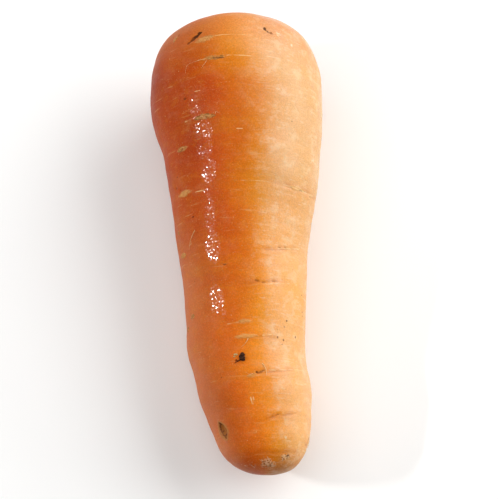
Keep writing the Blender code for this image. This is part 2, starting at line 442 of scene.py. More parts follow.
def stroke(down_a, angle_a, down_b, angle_b, radius):
    """Signed distance to a line between two places, as thick as radius on each side."""
    x, y = along_and_across(down_a, angle_a)
    end_x = math.radians(angle_gap(angle_b, angle_a)) * np.interp(down_a, ring_down, ring_reach)
    end_y = down_b - down_a
    share = np.clip((x * end_x + y * end_y) / (end_x**2 + end_y**2), 0, 1)
    return np.clip(np.hypot(x - share * end_x, y - share * end_y) - radius, -FAR, FAR)


body_rows = slice(len(cup), ring_count)
ring_down = down[body_rows].mean(axis=1)
ring_reach = reach[body_rows].mean(axis=1)
print(f"skin points lie from {down.min():.1f} to {down.max():.1f} mm down the root")

# %% [markdown]
# ## Scars, slits, lines and specks
#
# A carrot puts out side roots all its life, and each leaves a lens of tan cork across the
# skin, often with a dark slit in it. Fine pale lines run on from them round the root. These
# lists are given for the side that faces the camera, and a seeded draw makes others for the
# back and the underside.

# %% Scars
# down mm, angle, half length mm, half width mm, slant in degrees, 0 pale to 1 dark
SCARS = (
    (15.5, 111.5, 3.6, 1.05, 12.0, 0.35),
    (11.8, 138.5, 1.3, 0.80, 60.0, 0.50),
    (22.7, 103.8, 4.4, 0.80, 3.0, 0.60),
    (41.4, 115.0, 4.3, 0.85, 1.0, 0.75),
    (49.6, 138.7, 2.6, 0.85, 3.0, 0.60),
    (63.7, 142.5, 3.6, 0.95, 3.0, 0.20),
    (62.0, 38.0, 5.0, 0.55, 2.0, 0.05),
    (82.4, 157.0, 3.2, 0.80, -6.0, 0.45),
    (74.6, 160.0, 1.4, 0.50, 0.0, 0.45),
    (106.2, 91.5, 2.5, 0.62, 4.0, 0.15),
    (110.9, 91.0, 4.0, 0.70, 4.0, 0.10),
    (123.1, 91.5, 1.8, 0.50, 14.0, 0.35),
    (102.8, 149.5, 1.6, 0.90, 0.0, 0.85),
    (105.9, 164.0, 1.2, 0.80, 0.0, 0.90),
)
# down mm, angle, half length mm, half width mm, slant, 0 reddish and faint to 1 black
SLITS = (
    (12.8, 116.0, 1.3, 0.60, 42.0, 1.0),
    (13.6, 117.9, 1.2, 0.75, 20.0, 0.9),
    (14.5, 120.4, 1.5, 0.80, 38.0, 0.55),
    (15.5, 123.6, 0.9, 0.55, 25.0, 0.45),
    (10.9, 67.9, 1.2, 0.62, -38.0, 1.0),
    (11.8, 66.0, 0.9, 0.46, -50.0, 0.8),
    (12.3, 63.6, 1.3, 0.44, -28.0, 0.5),
    (10.8, 136.6, 0.8, 0.26, 45.0, 0.9),
    (22.9, 101.0, 1.9, 0.24, 0.0, 0.6),
    (22.4, 110.3, 0.4, 0.30, 0.0, 0.8),
    (34.4, 127.7, 0.8, 0.45, 20.0, 0.5),
    (33.6, 121.0, 1.9, 0.18, 6.0, 0.2),
    (41.8, 118.0, 1.4, 0.18, 5.0, 0.6),
    (49.8, 139.5, 0.8, 0.26, 35.0, 0.5),
    (60.7, 153.9, 0.7, 0.40, 0.0, 0.4),
    (62.3, 147.0, 0.9, 0.26, 0.0, 0.3),
    (62.2, 36.0, 1.9, 0.20, 5.0, 0.3),
    (82.0, 55.0, 0.9, 0.20, 4.0, 0.4),
    (81.6, 47.5, 0.6, 0.22, 8.0, 0.3),
    (93.6, 79.0, 1.0, 0.32, 3.0, 0.30),
    (93.9, 71.0, 1.1, 0.15, 5.0, 0.2),
    (93.2, 61.5, 1.0, 0.12, 5.0, 0.2),
    (122.0, 81.5, 1.5, 0.34, 22.0, 0.4),
    (122.2, 86.0, 0.5, 0.22, 30.0, 0.8),
    (135.9, 77.5, 0.7, 0.16, 16.0, 0.4),
    (135.1, 70.0, 1.0, 0.16, 16.0, 0.3),
    (81.4, 102.4, 0.4, 0.30, 20.0, 0.6),
    (88.4, 107.0, 0.6, 0.34, 0.0, 0.4),
    (141.6, 8.7, 1.4, 0.50, 80.0, 0.5),
    (147.6, 54.0, 0.8, 0.26, 45.0, 0.6),
)
BACK_SCARS = 16
back_scars, back_slits = [], []
for rank in range(BACK_SCARS):
    place = 16.0 + 128.0 * (rank + back_draw.uniform(0.1, 0.9)) / BACK_SCARS
    angle = back_draw.uniform(190.0, 355.0)
    half_length = back_draw.uniform(1.5, 4.6)
    half_width = back_draw.uniform(0.5, 1.3)
    slant = back_draw.uniform(-7.0, 7.0)
    tone = back_draw.uniform(0.1, 0.9)
    back_scars.append((place, angle, half_length, half_width, slant, tone))
    if back_draw.random() < 0.6:
        back_slits.append((place, angle, half_length * 0.45, half_width * 0.3, slant, tone))
all_scars = (*SCARS, *back_scars)
scar_distances = np.array([lens(*row[:5]) for row in all_scars])
scar = scar_distances.min(axis=0)
scar_tone = np.array([row[5] for row in all_scars])[scar_distances.argmin(axis=0)]
all_slits = (*SLITS, *back_slits)
slit_distances = np.array([lens(*row[:5]) for row in all_slits])
slit = slit_distances.min(axis=0)
slit_tone = np.array([row[5] for row in all_slits])[slit_distances.argmin(axis=0)]
print(len(SCARS) + BACK_SCARS, "scars and", len(SLITS) + len(back_slits), "slits")

# %% Pale lines, scuffs, painted glints and dark specks
# half width mm, then the places that the line joins: down mm, angle
PALE_LINES = (
    (0.15, (14.7, 104.6), (14.4, 99.0), (14.3, 93.5), (14.3, 86.7), (14.8, 80.0)),
    (0.12, (22.9, 115.2), (22.9, 110.0)),
    (0.15, (22.3, 96.5), (22.0, 93.6), (22.1, 87.1), (22.1, 80.5), (21.5, 66.6)),
    (0.13, (41.4, 131.7), (41.9, 125.0), (41.9, 119.0)),
    (0.16, (46.0, 92.8), (46.0, 88.6)),
    (0.12, (33.0, 119.5), (33.0, 115.0)),
    (0.18, (61.9, 58.0), (62.1, 33.0)),
    (0.22, (62.1, 33.0), (61.8, 14.0)),
    (0.08, (62.3, 98.0), (61.9, 60.0)),
    (0.13, (64.2, 131.0), (64.3, 122.0)),
    (0.17, (82.3, 56.0), (80.4, 26.0)),
    (0.10, (94.4, 70.0), (92.6, 42.0)),
    (0.14, (106.6, 97.0), (106.9, 108.0)),
    (0.15, (110.4, 75.0), (110.0, 66.0)),
    (0.14, (121.4, 74.0), (119.8, 32.0)),
    (0.20, (130.0, 96.5), (132.3, 95.5)),
    (0.14, (129.4, 93.8), (131.6, 93.0)),
    (0.10, (134.6, 66.0), (133.6, 46.0)),
    (0.13, (76.5, 134.0), (78.4, 137.5), (80.6, 141.0)),
)
# some of these are scuffs, and some are painted glints: pale spots where the skin caught the light
# down mm, angle, reach along the root mm, reach round it mm, amount
SCUFFS_AND_PAINTED_GLINTS = (
    (12.0, 57.0, 1.5, 2.2, 0.65),
    (13.8, 52.0, 1.2, 1.3, 0.5),
    (15.0, 47.0, 0.7, 0.7, 0.9),
    (32.0, 61.0, 0.8, 1.8, 0.6),
    (31.0, 66.0, 0.5, 1.2, 0.4),
    (51.0, 22.0, 2.2, 1.8, 0.5),
    (92.8, 112.0, 1.2, 1.0, 0.4),
    (104.0, 104.0, 1.6, 0.6, 0.3),
    (108.5, 118.0, 3.0, 0.9, 0.25),
    (128.0, 62.0, 1.4, 1.2, 0.3),
    (141.9, 61.3, 0.7, 0.6, 0.8),
    (150.2, 127.0, 0.6, 1.2, 0.6),
)
# down mm, angle, radius mm
SPECKS = (
    (35.4, 141.7, 0.26), (27.0, 140.0, 0.20), (24.6, 58.0, 0.30), (41.2, 49.6, 0.45),
    (43.0, 47.0, 0.32), (71.9, 134.8, 0.50), (62.5, 19.0, 0.32), (100.3, 18.4, 0.42),
    (101.6, 18.0, 0.36), (104.9, 46.6, 0.42), (107.0, 50.0, 0.28), (108.2, 58.5, 0.30),
    (110.6, 58.9, 0.42), (111.2, 51.5, 0.46), (109.4, 33.0, 0.44), (112.6, 54.0, 0.26),
    (123.5, 121.5, 0.32), (128.8, 49.0, 0.34), (91.0, 138.0, 0.28), (92.0, 141.0, 0.24),
    (88.0, 124.0, 0.26), (95.0, 20.0, 0.28), (34.0, 44.0, 0.30), (52.6, 34.0, 0.34),
)
print(len(PALE_LINES), "lines,", len(SCUFFS_AND_PAINTED_GLINTS), "scuffs and", len(SPECKS), "specks above")

# %% More of them on the back, and how far each point is from them
BACK_LINES, BACK_SPECKS = 22, 26
back_lines = []
for _ in range(BACK_LINES):
    place, angle = back_draw.uniform(10.0, 146.0), back_draw.uniform(185.0, 355.0)
    end = place + back_draw.uniform(-0.8, 0.8), angle + back_draw.uniform(8.0, 30.0)
    back_lines.append((back_draw.uniform(0.08, 0.2), (place, angle), end))
back_specks = [
    (back_draw.uniform(8.0, 148.0), back_draw.uniform(180.0, 360.0), back_draw.uniform(0.2, 0.5))
    for _ in range(BACK_SPECKS)
]
pale = np.min([
    stroke(*start, *end, radius)
    for radius, *places in (*PALE_LINES, *back_lines)
    for start, end in zip(places, places[1:])
], axis=0)


def scuff_or_painted_glint(place_down, place_angle, reach_down, reach_round, amount):
    along, across = along_and_across(place_down, place_angle)
    return amount * bell(np.hypot(along / reach_round, across / reach_down))


# painted glints and scuffs, as one paleness
painted_glint_and_scuff = np.max([scuff_or_painted_glint(*row) for row in SCUFFS_AND_PAINTED_GLINTS], axis=0)


def speck_distance(place_down, place_angle, radius):
    return np.hypot(*along_and_across(place_down, place_angle)) - 0.85 * radius


speck = np.min([speck_distance(*row) for row in (*SPECKS, *back_specks)], axis=0)
print(len(PALE_LINES) + BACK_LINES, "pale lines and", len(SPECKS) + BACK_SPECKS, "specks")

# %% The wound and the tip's scab
# down mm, angle, half length mm, half width mm, slant in degrees
WOUND = (139.4, 140.5, 2.9, 2.0, 105.0)
# down mm, angle, radius mm
SCABS = (
    (149.6, 86.0, 1.7), (150.3, 77.0, 1.0), (148.2, 60.0, 0.9), (147.7, 52.0, 0.5),
    (150.2, 110.0, 0.6),
)
wound = lens(*WOUND)


def patch_distance(place_down, place_angle, radius):
    """Signed distance in space to a patch on the tip, where the skin turns to face it."""
    cost = np.abs(down - place_down) + np.radians(np.abs(angle_gap(around, place_angle))) * reach
    cost[: len(cup)] = FAR
    nearest = rings.reshape(-1, 3)[cost.argmin()]
    return np.linalg.norm(rings - nearest, axis=2) / MM - radius


scab = np.min([patch_distance(*row) for row in SCABS], axis=0)
scab = np.clip(scab, -FAR, FAR)

print(len(SCABS), "patches of scab")

# %% How far each point is from the creases
crease_across = np.full(down.shape, FAR)
crease_fade = np.zeros(down.shape)
crease_dark = np.zeros(down.shape)
crease_relief = np.zeros(down.shape)
CREASE_HALF_WIDTH = 0.5
LIP_OFFSET, LIP_HALF_WIDTH, LIP_SHARE = 1.0, 0.6, 0.35
for place, angle, half_span, slant, depth, darkness in creases:
    gap = angle_gap(around, angle)
    wander = 0.16 * np.sin(gap * 0.13 + place) + 0.07 * np.sin(gap * 0.41 + 2.1 * place)
    across = down - place - slant * gap / 10.0 - wander
    fade = bell((gap / half_span) ** 2) * (0.75 + 0.25 * np.sin(gap * 0.33 + 3 * place))
    crease_relief -= depth * fade * bell(across / CREASE_HALF_WIDTH)
    crease_relief += LIP_SHARE * depth * fade * bell((across - LIP_OFFSET) / LIP_HALF_WIDTH)
    nearer = (np.abs(across) < np.abs(crease_across)) & (fade > 0.05)
    crease_across = np.where(nearer, across, crease_across)
    crease_fade = np.where(nearer, fade, crease_fade)
    crease_dark = np.where(nearer, fade * darkness, crease_dark)
print("deepest crease", round(float(-crease_relief.min()), 2), "mm")

# %% Where the wet film, the haze and the crown lie
# down mm, angle, half length along the root mm, half width round it mm, amount
WET_PLACES = (
    (37.5, 121.0, 3.8, 2.0, 0.90),
    (47.5, 118.5, 7.0, 3.2, 0.95),
    (58.0, 117.0, 4.2, 2.6, 0.90),
    (65.2, 119.5, 1.4, 1.3, 0.50),
    (73.0, 118.0, 6.0, 1.7, 0.85),
    (82.5, 116.5, 5.4, 2.4, 0.95),
    (99.0, 117.0, 4.2, 2.5, 0.90),
    (103.5, 111.0, 1.8, 1.0, 0.60),
)


def wet_amount(place_down, place_angle, half_length, half_width, amount):
    """All of the amount in the middle of a wet place, and less and less towards its edge."""
    along, across = along_and_across(place_down, place_angle)
    from_place = np.hypot(along / half_width, across / half_length)
    return amount * np.clip(2.6 - 2.0 * from_place, 0, 1)


sparkle = np.max([wet_amount(*row) for row in WET_PLACES], axis=0)
upward = np.sin(np.radians(around))
rightward = np.cos(np.radians(around))
right_film = np.clip((upward + 0.50) / 0.35, 0, 1) * np.clip((rightward + 0.05) / 0.40, 0, 1)
right_film = right_film * np.clip((149.0 - down) / 12.0, 0, 1)
crown_gap = np.hypot(rings[:, :, 0] - rim_middle.x, rings[:, :, 2] - rim_middle.z) / MM
crown_gap = np.where(down < 30.0, crown_gap - CUP_RADIUS / MM, FAR)
stalk = np.concatenate([cup_cover, np.zeros(body.shape[:2])])
print(f"the wet film shows on {100 * (sparkle > 0.3).mean():.1f} % of the skin points")

# %% Raise and sink the marks
SCAR_RAISE = 0.16
SLIT_DEPTH = 0.28
PALE_RAISE = 0.05
WOUND_DEPTH, WOUND_RIM = 0.9, 0.28
SCAB_RAISE = 0.18


def inside(distance, softness):
    """1 well inside a mark and 0 outside it, over that many millimetres."""
    share = np.clip(0.5 - distance / softness / 2, 0, 1)
    return share * share * (3 - 2 * share)


relief = crease_relief
relief = relief + SCAR_RAISE * inside(scar, 0.6) - SLIT_DEPTH * inside(slit, 0.35)
relief = relief + PALE_RAISE * inside(pale, 0.4) + SCAB_RAISE * inside(scab, 0.8)
relief = relief - WOUND_DEPTH * inside(wound + 0.35, 0.5) + WOUND_RIM * bell((wound - 0.5) / 0.55)
relief[: len(cup)] = 0.0
print(f"relief from {relief.min():.2f} to {relief.max():.2f} mm")

# %% [markdown]
# ## The skin as a mesh
#
# The rings become one closed mesh: quads between rings, and a fan at the bud and at the tip.
# The distances are stored on its points as attributes, which both the geometry nodes below
# and the material can read by name.

# %% Build the skin mesh
skin_points = np.vstack([cup_point, rings.reshape(-1, 3), tip_point])
first = np.arange(ring_count - 1)[:, None] * SIDES
column = np.arange(SIDES)[None, :]
after = (column + 1) % SIDES
quads = np.stack(
    [first + column, first + after, first + SIDES + after, first + SIDES + column], axis=2
)
quads = quads.reshape(-1, 4) + 1
last_ring = 1 + (ring_count - 1) * SIDES
cup_fan = [(0, 1 + (k + 1) % SIDES, 1 + k) for k in range(SIDES)]
tip_fan = [(len(skin_points) - 1, last_ring + k, last_ring + (k + 1) % SIDES) for k in range(SIDES)]
skin_mesh = bpy.data.meshes.new("carrot_skin")
skin_mesh.from_pydata(skin_points.tolist(), [], cup_fan + quads.tolist() + tip_fan)
skin_mesh.update()
made = bmesh.new()
made.from_mesh(skin_mesh)
bmesh.ops.recalc_face_normals(made, faces=made.faces)
made.to_mesh(skin_mesh)
made.free()
skin_mesh.shade_smooth()


def store(name, values, first_pole, last_pole):
    """Keeps one number for each skin point, with one each for the two poles."""
    attribute = skin_mesh.attributes.new(name, "FLOAT", "POINT")
    numbers = np.concatenate([[first_pole], values.ravel(), [last_pole]])
    attribute.data.foreach_set("value", numbers.astype(np.float32))


# name, numbers, then the numbers at the bud and at the tip
for row in (
    ("relief", relief * MM, 0.0, 0.0),
    ("scar", scar, FAR, FAR),
    ("scar_tone", scar_tone, 0.5, 0.5),
    ("slit", slit, FAR, FAR),
    ("slit_tone", slit_tone, 0.5, 0.5),
    ("pale", pale, FAR, FAR),
    ("speck", speck, FAR, FAR),
    # painted glints and scuffs
    ("painted_glint_and_scuff", painted_glint_and_scuff, 0.0, 0.0),
    ("wound", wound, FAR, FAR),
    ("scab", scab, FAR, float(scab[-1].mean())),
    ("crease", crease_across, FAR, FAR),
    ("crease_fade", crease_fade, 0.0, 0.0),
    ("crease_dark", crease_dark, 0.0, 0.0),
    ("crown", crown_gap, -CUP_RADIUS / MM, FAR),
    ("stalk", stalk, 1.0, 0.0),
    ("sparkle", sparkle, 0.0, 0.0),
    ("right_film", right_film, 0.0, 0.0),
    ("rightward", rightward, 0.0, 0.0),
    ("down", down, float(down[0].mean()), float(down[-1].mean())),
):
    store(*row)
skin = new_object("carrot_skin", skin_mesh)
print(len(skin_mesh.vertices), "points,", len(skin_mesh.polygons), "faces")

# %% [markdown]
# ## Nodes in short
#
# Node trees for geometry and for materials are built the same way, so a few helpers serve
# both. Each one adds a node, joins or sets its inputs, and hands back its output socket, so
# that a tree reads like a sum.

# %% Helpers for node trees
def add(tree, kind, **settings):
    node = tree.nodes.new(kind)
    for name, value in settings.items():
        setattr(node, name, value)
    return node


def feed(tree, socket, value):
    """Joins another node's output to the socket, or sets its own value."""
    if isinstance(value, bpy.types.NodeSocket):
        tree.links.new(value, socket)
    elif value is not None:
        socket.default_value = value


def fed(tree, kind, values, **settings):
    """Adds a node with those values, or other nodes' outputs, in its inputs."""
    node = add(tree, kind, **settings)
    for socket, value in values.items():
        feed(tree, node.inputs[socket], value)
    return node


def maths(tree, operation, one, two):
    return fed(tree, "ShaderNodeMath", {0: one, 1: two}, operation=operation).outputs[0]


def vectors(tree, operation, one, two=None):
    return fed(tree, "ShaderNodeVectorMath", {0: one, 1: two}, operation=operation).outputs[0]


def total(tree, *values):
    """The sum of several numbers."""
    answer = values[0]
    for value in values[1:]:
        answer = maths(tree, "ADD", answer, value)
    return answer


def times(tree, *values):
    """The product of several numbers."""
    answer = values[0]
    for value in values[1:]:
        answer = maths(tree, "MULTIPLY", answer, value)
    return answer


# %% Vectors, noise and ranges
def swing(tree, pattern, strength):
    """Makes a noise swing to both sides of zero, as strongly as asked."""
    return times(tree, maths(tree, "SUBTRACT", pattern, 0.5), strength)


def scaled(tree, vector, scale):
    """A vector times a number, or times three numbers."""
    if isinstance(scale, tuple):
        return vectors(tree, "MULTIPLY", vector, scale)
    values = {0: vector, "Scale": scale}
    return fed(tree, "ShaderNodeVectorMath", values, operation="SCALE").outputs[0]


def noise(tree, vector, scale, detail=2.0, roughness=0.5, seed=0.0):
    """Soft random numbers round 0.5, with so many patches to the metre."""
    values = {"Vector": vector, "W": seed, "Scale": scale, "Detail": detail, "Roughness": roughness}
    return fed(tree, "ShaderNodeTexNoise", values, noise_dimensions="4D").outputs[0]


def remap(tree, value, from_low, from_high, to_low=0.0, to_high=1.0, smooth=True):
    """Moves a number from one range to another, and keeps it inside the second."""
    kind = "SMOOTHSTEP" if smooth else "LINEAR"
    values = dict(enumerate((value, from_low, from_high, to_low, to_high)))
    node = fed(tree, "ShaderNodeMapRange", values, interpolation_type=kind)
    return node.outputs[0]


# %% [markdown]
# ## Living relief
#
# No carrot is as even as a turned one. The skin rises and sinks in broad lumps, has shallow
# ripples across it, and is pitted finely all over. The rule is the same everywhere, so
# geometry nodes make it: three noises of different sizes, added to the relief of the marks,
# push each point out along its normal. The sizes are the tree's named inputs, and the last
# input is the material, which the tree sets on the new mesh. No point may then stand outside
# the solid's box.

# %% Helpers for geometry trees
def new_geometry_tree(name, inputs):
    """A geometry tree with a mesh in and out, and a named input for each size and material."""
    tree = bpy.data.node_groups.new(name, "GeometryNodeTree")
    tree.interface.new_socket("Mesh", in_out="INPUT", socket_type="NodeSocketGeometry")
    for label, kind, value in inputs:
        socket = tree.interface.new_socket(label, in_out="INPUT", socket_type=kind)
        if value is not None:
            socket.default_value = value
    tree.interface.new_socket("Mesh", in_out="OUTPUT", socket_type="NodeSocketGeometry")
    return tree, add(tree, "NodeGroupInput").outputs, add(tree, "NodeGroupOutput").inputs


def named(tree, name):
    """Reads a stored attribute."""
    node = add(tree, "GeometryNodeInputNamedAttribute", data_type="FLOAT")
    node.inputs["Name"].default_value = name
    return node.outputs["Attribute"]


def apply_tree(obj, tree, values):
    """Runs a geometry tree on an object with the given inputs, and keeps the plain mesh."""
    modifier = obj.modifiers.new(tree.name, "NODES")
    modifier.node_group = tree
    for item in tree.interface.items_tree:
        if item.in_out == "INPUT" and item.name in values:
            modifier[item.identifier] = values[item.name]
    bpy.context.view_layer.update()
    depsgraph = bpy.context.evaluated_depsgraph_get()
    result = bpy.data.meshes.new_from_object(obj.evaluated_get(depsgraph))
    obj.modifiers.remove(modifier)
    return result


def set_material_and_finish(tree, geometry, material, result):
    """Ends a geometry tree: real points only, and one material."""
    real = fed(tree, "GeometryNodeRealizeInstances", {0: geometry}).outputs[0]
    painted = fed(tree, "GeometryNodeSetMaterial", {"Geometry": real, "Material": material})
    feed(tree, result["Mesh"], painted.outputs[0])


# %% The tree of the living relief
skin_material = bpy.data.materials.new("carrot_skin")
relief_tree, given, result = new_geometry_tree("living_relief", (
    ("Lump height", "NodeSocketFloat", 0.0005),
    ("Lumps per metre", "NodeSocketFloat", 55.0),
    ("Ripple height", "NodeSocketFloat", 0.0001),
    ("Ripples per metre", "NodeSocketFloat", 300.0),
    ("Pit depth", "NodeSocketFloat", 0.00005),
    ("Pits per metre", "NodeSocketFloat", 700.0),
    ("Seed", "NodeSocketFloat", 1.0),
    ("Material", "NodeSocketMaterial", None),
))
position = add(relief_tree, "GeometryNodeInputPosition").outputs[0]
normal = add(relief_tree, "GeometryNodeInputNormal").outputs[0]
heights = []
for how_many, how_high, stretch, detail, roughness in (
    ("Lumps per metre", "Lump height", (1.0, 0.7, 1.0), 1.5, 0.4),
    ("Ripples per metre", "Ripple height", (0.16, 1.0, 0.16), 2.0, 0.5),
    ("Pits per metre", "Pit depth", None, 2.0, 0.5),
):
    place = scaled(relief_tree, position, stretch) if stretch else position
    pattern = noise(relief_tree, place, given[how_many], detail, roughness, given["Seed"])
    heights.append(swing(relief_tree, pattern, given[how_high]))
on_body = remap(relief_tree, named(relief_tree, "crown"), -1.5, 2.5)
living = times(relief_tree, total(relief_tree, *heights), on_body)
height = total(relief_tree, named(relief_tree, "relief"), living)
offset = scaled(relief_tree, normal, height)
moved = {"Geometry": given["Mesh"], "Offset": offset}
push = fed(relief_tree, "GeometryNodeSetPosition", moved)
set_material_and_finish(relief_tree, push.outputs[0], given["Material"], result)
print(relief_tree.name, "has", len(relief_tree.nodes), "nodes")

# %% Grow the relief
skin.data = apply_tree(skin, relief_tree, {
    "Lump height": 0.9 * MM,
    "Lumps per metre": 60.0,
    "Ripple height": 0.20 * MM,
    "Ripples per metre": 330.0,
    "Pit depth": 0.07 * MM,
    "Pits per metre": 900.0,
    "Seed": 4.0,
    "Material": skin_material,
})
points = np.zeros(len(skin.data.vertices) * 3)
skin.data.vertices.foreach_get("co", points)
points = points.reshape(-1, 3)
points[:, 2] = np.maximum(points[:, 2], low.z)
points[:, 0] = np.clip(points[:, 0], low.x, high.x)
points[:, 1] = np.clip(points[:, 1], low.y, high.y)
skin.data.vertices.foreach_set("co", points.ravel())
skin.data.update()
skin.data.shade_smooth()
print(f"skin runs from z {points[:, 2].min() / MM:.2f} to {points[:, 2].max() / MM:.2f} mm")

# %% [markdown]
# ## The skin's material
#
# Orange is only the start. Painted shade makes the skin deeper down the left side, redder at
# the shoulder's left edge and browner at the tip. It is golden on top. Painted light makes the
# top lighter and the right side and the shoulder paler and yellower, and patches of dried film
# lie on the right. Over that come soft bands across the root, mottling a few millimetres wide,
# and a dust and flecks of pale cork. All this could be painted on a picture, but noises give it
# at any fineness, and the stored numbers say where it belongs. The colours are laid over one
# another in coats, as a painter would: each coat has an amount from 0 to 1 and a colour. The
# marks come last, drawn by their distances in millimetres.

# %% Material helpers
def colour_mix(tree, amount, one, two, blend="MIX"):
    """One colour, with so much of the other mixed in."""
    node = add(tree, "ShaderNodeMix", data_type="RGBA", blend_type=blend)
    feed(tree, node.inputs[0], amount)
    for socket, value in zip(node.inputs[6:8], (one, two)):
        feed(tree, socket, (*value, 1.0) if isinstance(value, tuple) else value)
    return node.outputs[2]


def coated(tree, colour, *coats):
    """A colour with coats laid over it, each an amount, a colour and maybe a way to blend."""
    for amount, *coat in coats:
        colour = colour_mix(tree, amount, colour, *coat)
    return colour


def stored(tree, name):
    """Reads a point attribute of the mesh as a number."""
    return add(tree, "ShaderNodeAttribute", attribute_name=name).outputs["Fac"]


def drawn(tree, distance, ragged, softness):
    """1 inside a mark and 0 outside it, with an edge as soft and ragged as asked, in mm."""
    edge = maths(tree, "ADD", distance, ragged)
    return remap(tree, edge, softness / 2, -softness / 2)


def line_at_zero(tree, distance, outer, inner):
    """A line where a distance is zero: full as far as inner on each side, gone from outer on."""
    return remap(tree, maths(tree, "ABSOLUTE", distance, None), outer, inner)


def cells(tree, place, per_metre):
    """Small cells: the distance from the middle of each, in cell widths, and its random tint."""
    node = fed(tree, "ShaderNodeTexVoronoi", {"Vector": place, "Scale": per_metre}, feature="F1")
    return node.outputs["Distance"], node.outputs["Color"]


def bump(tree, height, distance, below=None):
    """A normal bent by a height, on top of another bump if one is given."""
    values = {"Height": height, "Distance": distance, "Normal": below, "Strength": 1.0}
    return fed(tree, "ShaderNodeBump", values).outputs["Normal"]


# %% Skin colours, and the start of the material
DEEP_ORANGE = (0.450, 0.046, 0.002)
ORANGE = (0.560, 0.078, 0.004)
LIGHT_ORANGE = (0.647, 0.200, 0.010)
YELLOW_ORANGE = (0.647, 0.231, 0.008)
# painted light for the lit right side
PAINTED_LIGHT_ORANGE = (0.700, 0.400, 0.165)
GOLDEN = (0.690, 0.255, 0.012)
SHOULDER_ORANGE = (0.690, 0.222, 0.058)
# painted shade for the shoulder's left edge
SHOULDER_EDGE_PAINTED_SHADE = (0.300, 0.016, 0.001)
PALE_CORK = (0.662, 0.385, 0.146)
PALE_LINE = (0.760, 0.520, 0.240)
WHITISH = (0.731, 0.554, 0.347)
DUST = (0.72, 0.50, 0.20)
PALE_SCAR = (0.662, 0.354, 0.115)
PALE_TAN = (0.570, 0.323, 0.115)
TAN = (0.400, 0.193, 0.054)
OLIVE = (0.131, 0.077, 0.017)
SLIT_BROWN = (0.042, 0.012, 0.0039)
SLIT_RED = (0.16, 0.040, 0.010)
CREASE_BROWN = (0.262, 0.065, 0.0092)
SPECK_BROWN = (0.050, 0.014, 0.006)
WOUND_BROWN = (0.120, 0.040, 0.012)
WOUND_ORANGE = (0.330, 0.110, 0.020)
SCAB_GREY = (0.620, 0.440, 0.270)
SCAB_DARK = (0.110, 0.050, 0.022)
CROWN_BROWN = (0.100, 0.050, 0.017)
CROWN_GREEN = (0.131, 0.108, 0.027)
STALK_TAN = (0.262, 0.169, 0.065)
# these darken or lighten what is under them; some are painted shade or painted light
TIP_PAINTED_SHADE = (0.60, 0.36, 0.24)
# painted shade for the left side
LEFT_PAINTED_SHADE = (0.93, 0.84, 0.70)
DARKER = (0.35, 0.35, 0.35)
PAINTED_TOP_LIGHT = (1.12, 1.12, 1.12)
THIN_END_LIGHT = (1.16, 1.16, 1.16)

skin_material.use_nodes = True
tree = skin_material.node_tree
shader = tree.nodes["Principled BSDF"]
place = add(tree, "ShaderNodeTexCoord").outputs["Object"]
down_root = stored(tree, "down")
rightward = stored(tree, "rightward")
print("the material starts with", len(tree.nodes), "nodes")

# %% Broad colours
# Broad patches push the borders between the colours to and fro, so none of them is straight.
PATCHES, BANDS, MOTTLE, GRAIN = 48.0, 170.0, 330.0, 2100.0
patches = noise(tree, scaled(tree, place, (1.0, 0.7, 1.0)), PATCHES, 2.0, 0.5, 1.0)
bands = noise(tree, scaled(tree, place, (0.22, 1.0, 0.22)), BANDS, 3.0, 0.6, 2.0)
mottle = noise(tree, place, MOTTLE, 4.0, 0.65, 3.0)
grain = noise(tree, place, GRAIN, 2.0, 0.6, 4.0)

# Painted light: how far a point lies towards the lit right side and the shoulder, with a wavy
# border. It makes those parts yellower and, on the right, paler.
near_shoulder = remap(tree, down_root, 34.0, 14.0, 0.0, 0.36)
painted_light_side = total(tree, rightward, swing(tree, patches, 0.5), near_shoulder)
wavy_down = total(tree, down_root, swing(tree, patches, 16.0))
painted_right_light = times(
    tree,
    remap(tree, painted_light_side, 0.20, 0.72, 0.0, 0.75),
    remap(tree, down_root, 84.0, 112.0, 1.0, 0.72),
)
golden = times(
    tree,
    remap(tree, rightward, 0.07, 0.45),
    remap(tree, down_root, 54.0, 72.0),
    remap(tree, down_root, 112.0, 96.0),
    remap(tree, patches, 0.35, 0.60, 0.2, 0.7),
)
colour = coated(
    tree,
    colour_mix(tree, remap(tree, patches, 0.30, 0.62), DEEP_ORANGE, ORANGE),
    (remap(tree, bands, 0.45, 0.78, 0.0, 0.30), YELLOW_ORANGE),
    (remap(tree, mottle, 0.48, 0.75, 0.0, 0.35), LIGHT_ORANGE),
    (remap(tree, grain, 0.54, 0.78, 0.0, 0.22), LIGHT_ORANGE),
    (remap(tree, down_root, 56.0, 100.0, 0.0, 0.30), LIGHT_ORANGE),
    # painted light: yellower towards the lit right side and the shoulder
    (remap(tree, painted_light_side, -0.34, 0.50, 0.0, 0.90), YELLOW_ORANGE),
    # painted light: paler on the right, less so towards the tip
    (painted_right_light, PAINTED_LIGHT_ORANGE),
    (golden, GOLDEN),
    (remap(tree, down_root, 26.0, 6.0, 0.0, 0.60), SHOULDER_ORANGE),
)
print("broad colours:", len(tree.nodes), "nodes")

# %% Painted light on top, and painted shade at the tip, the shoulder's left edge and the left side
# painted light: the top of the root is made lighter
painted_top_light = times(tree, remap(tree, rightward, -0.62, -0.10), remap(tree, rightward, 0.50, 0.10))
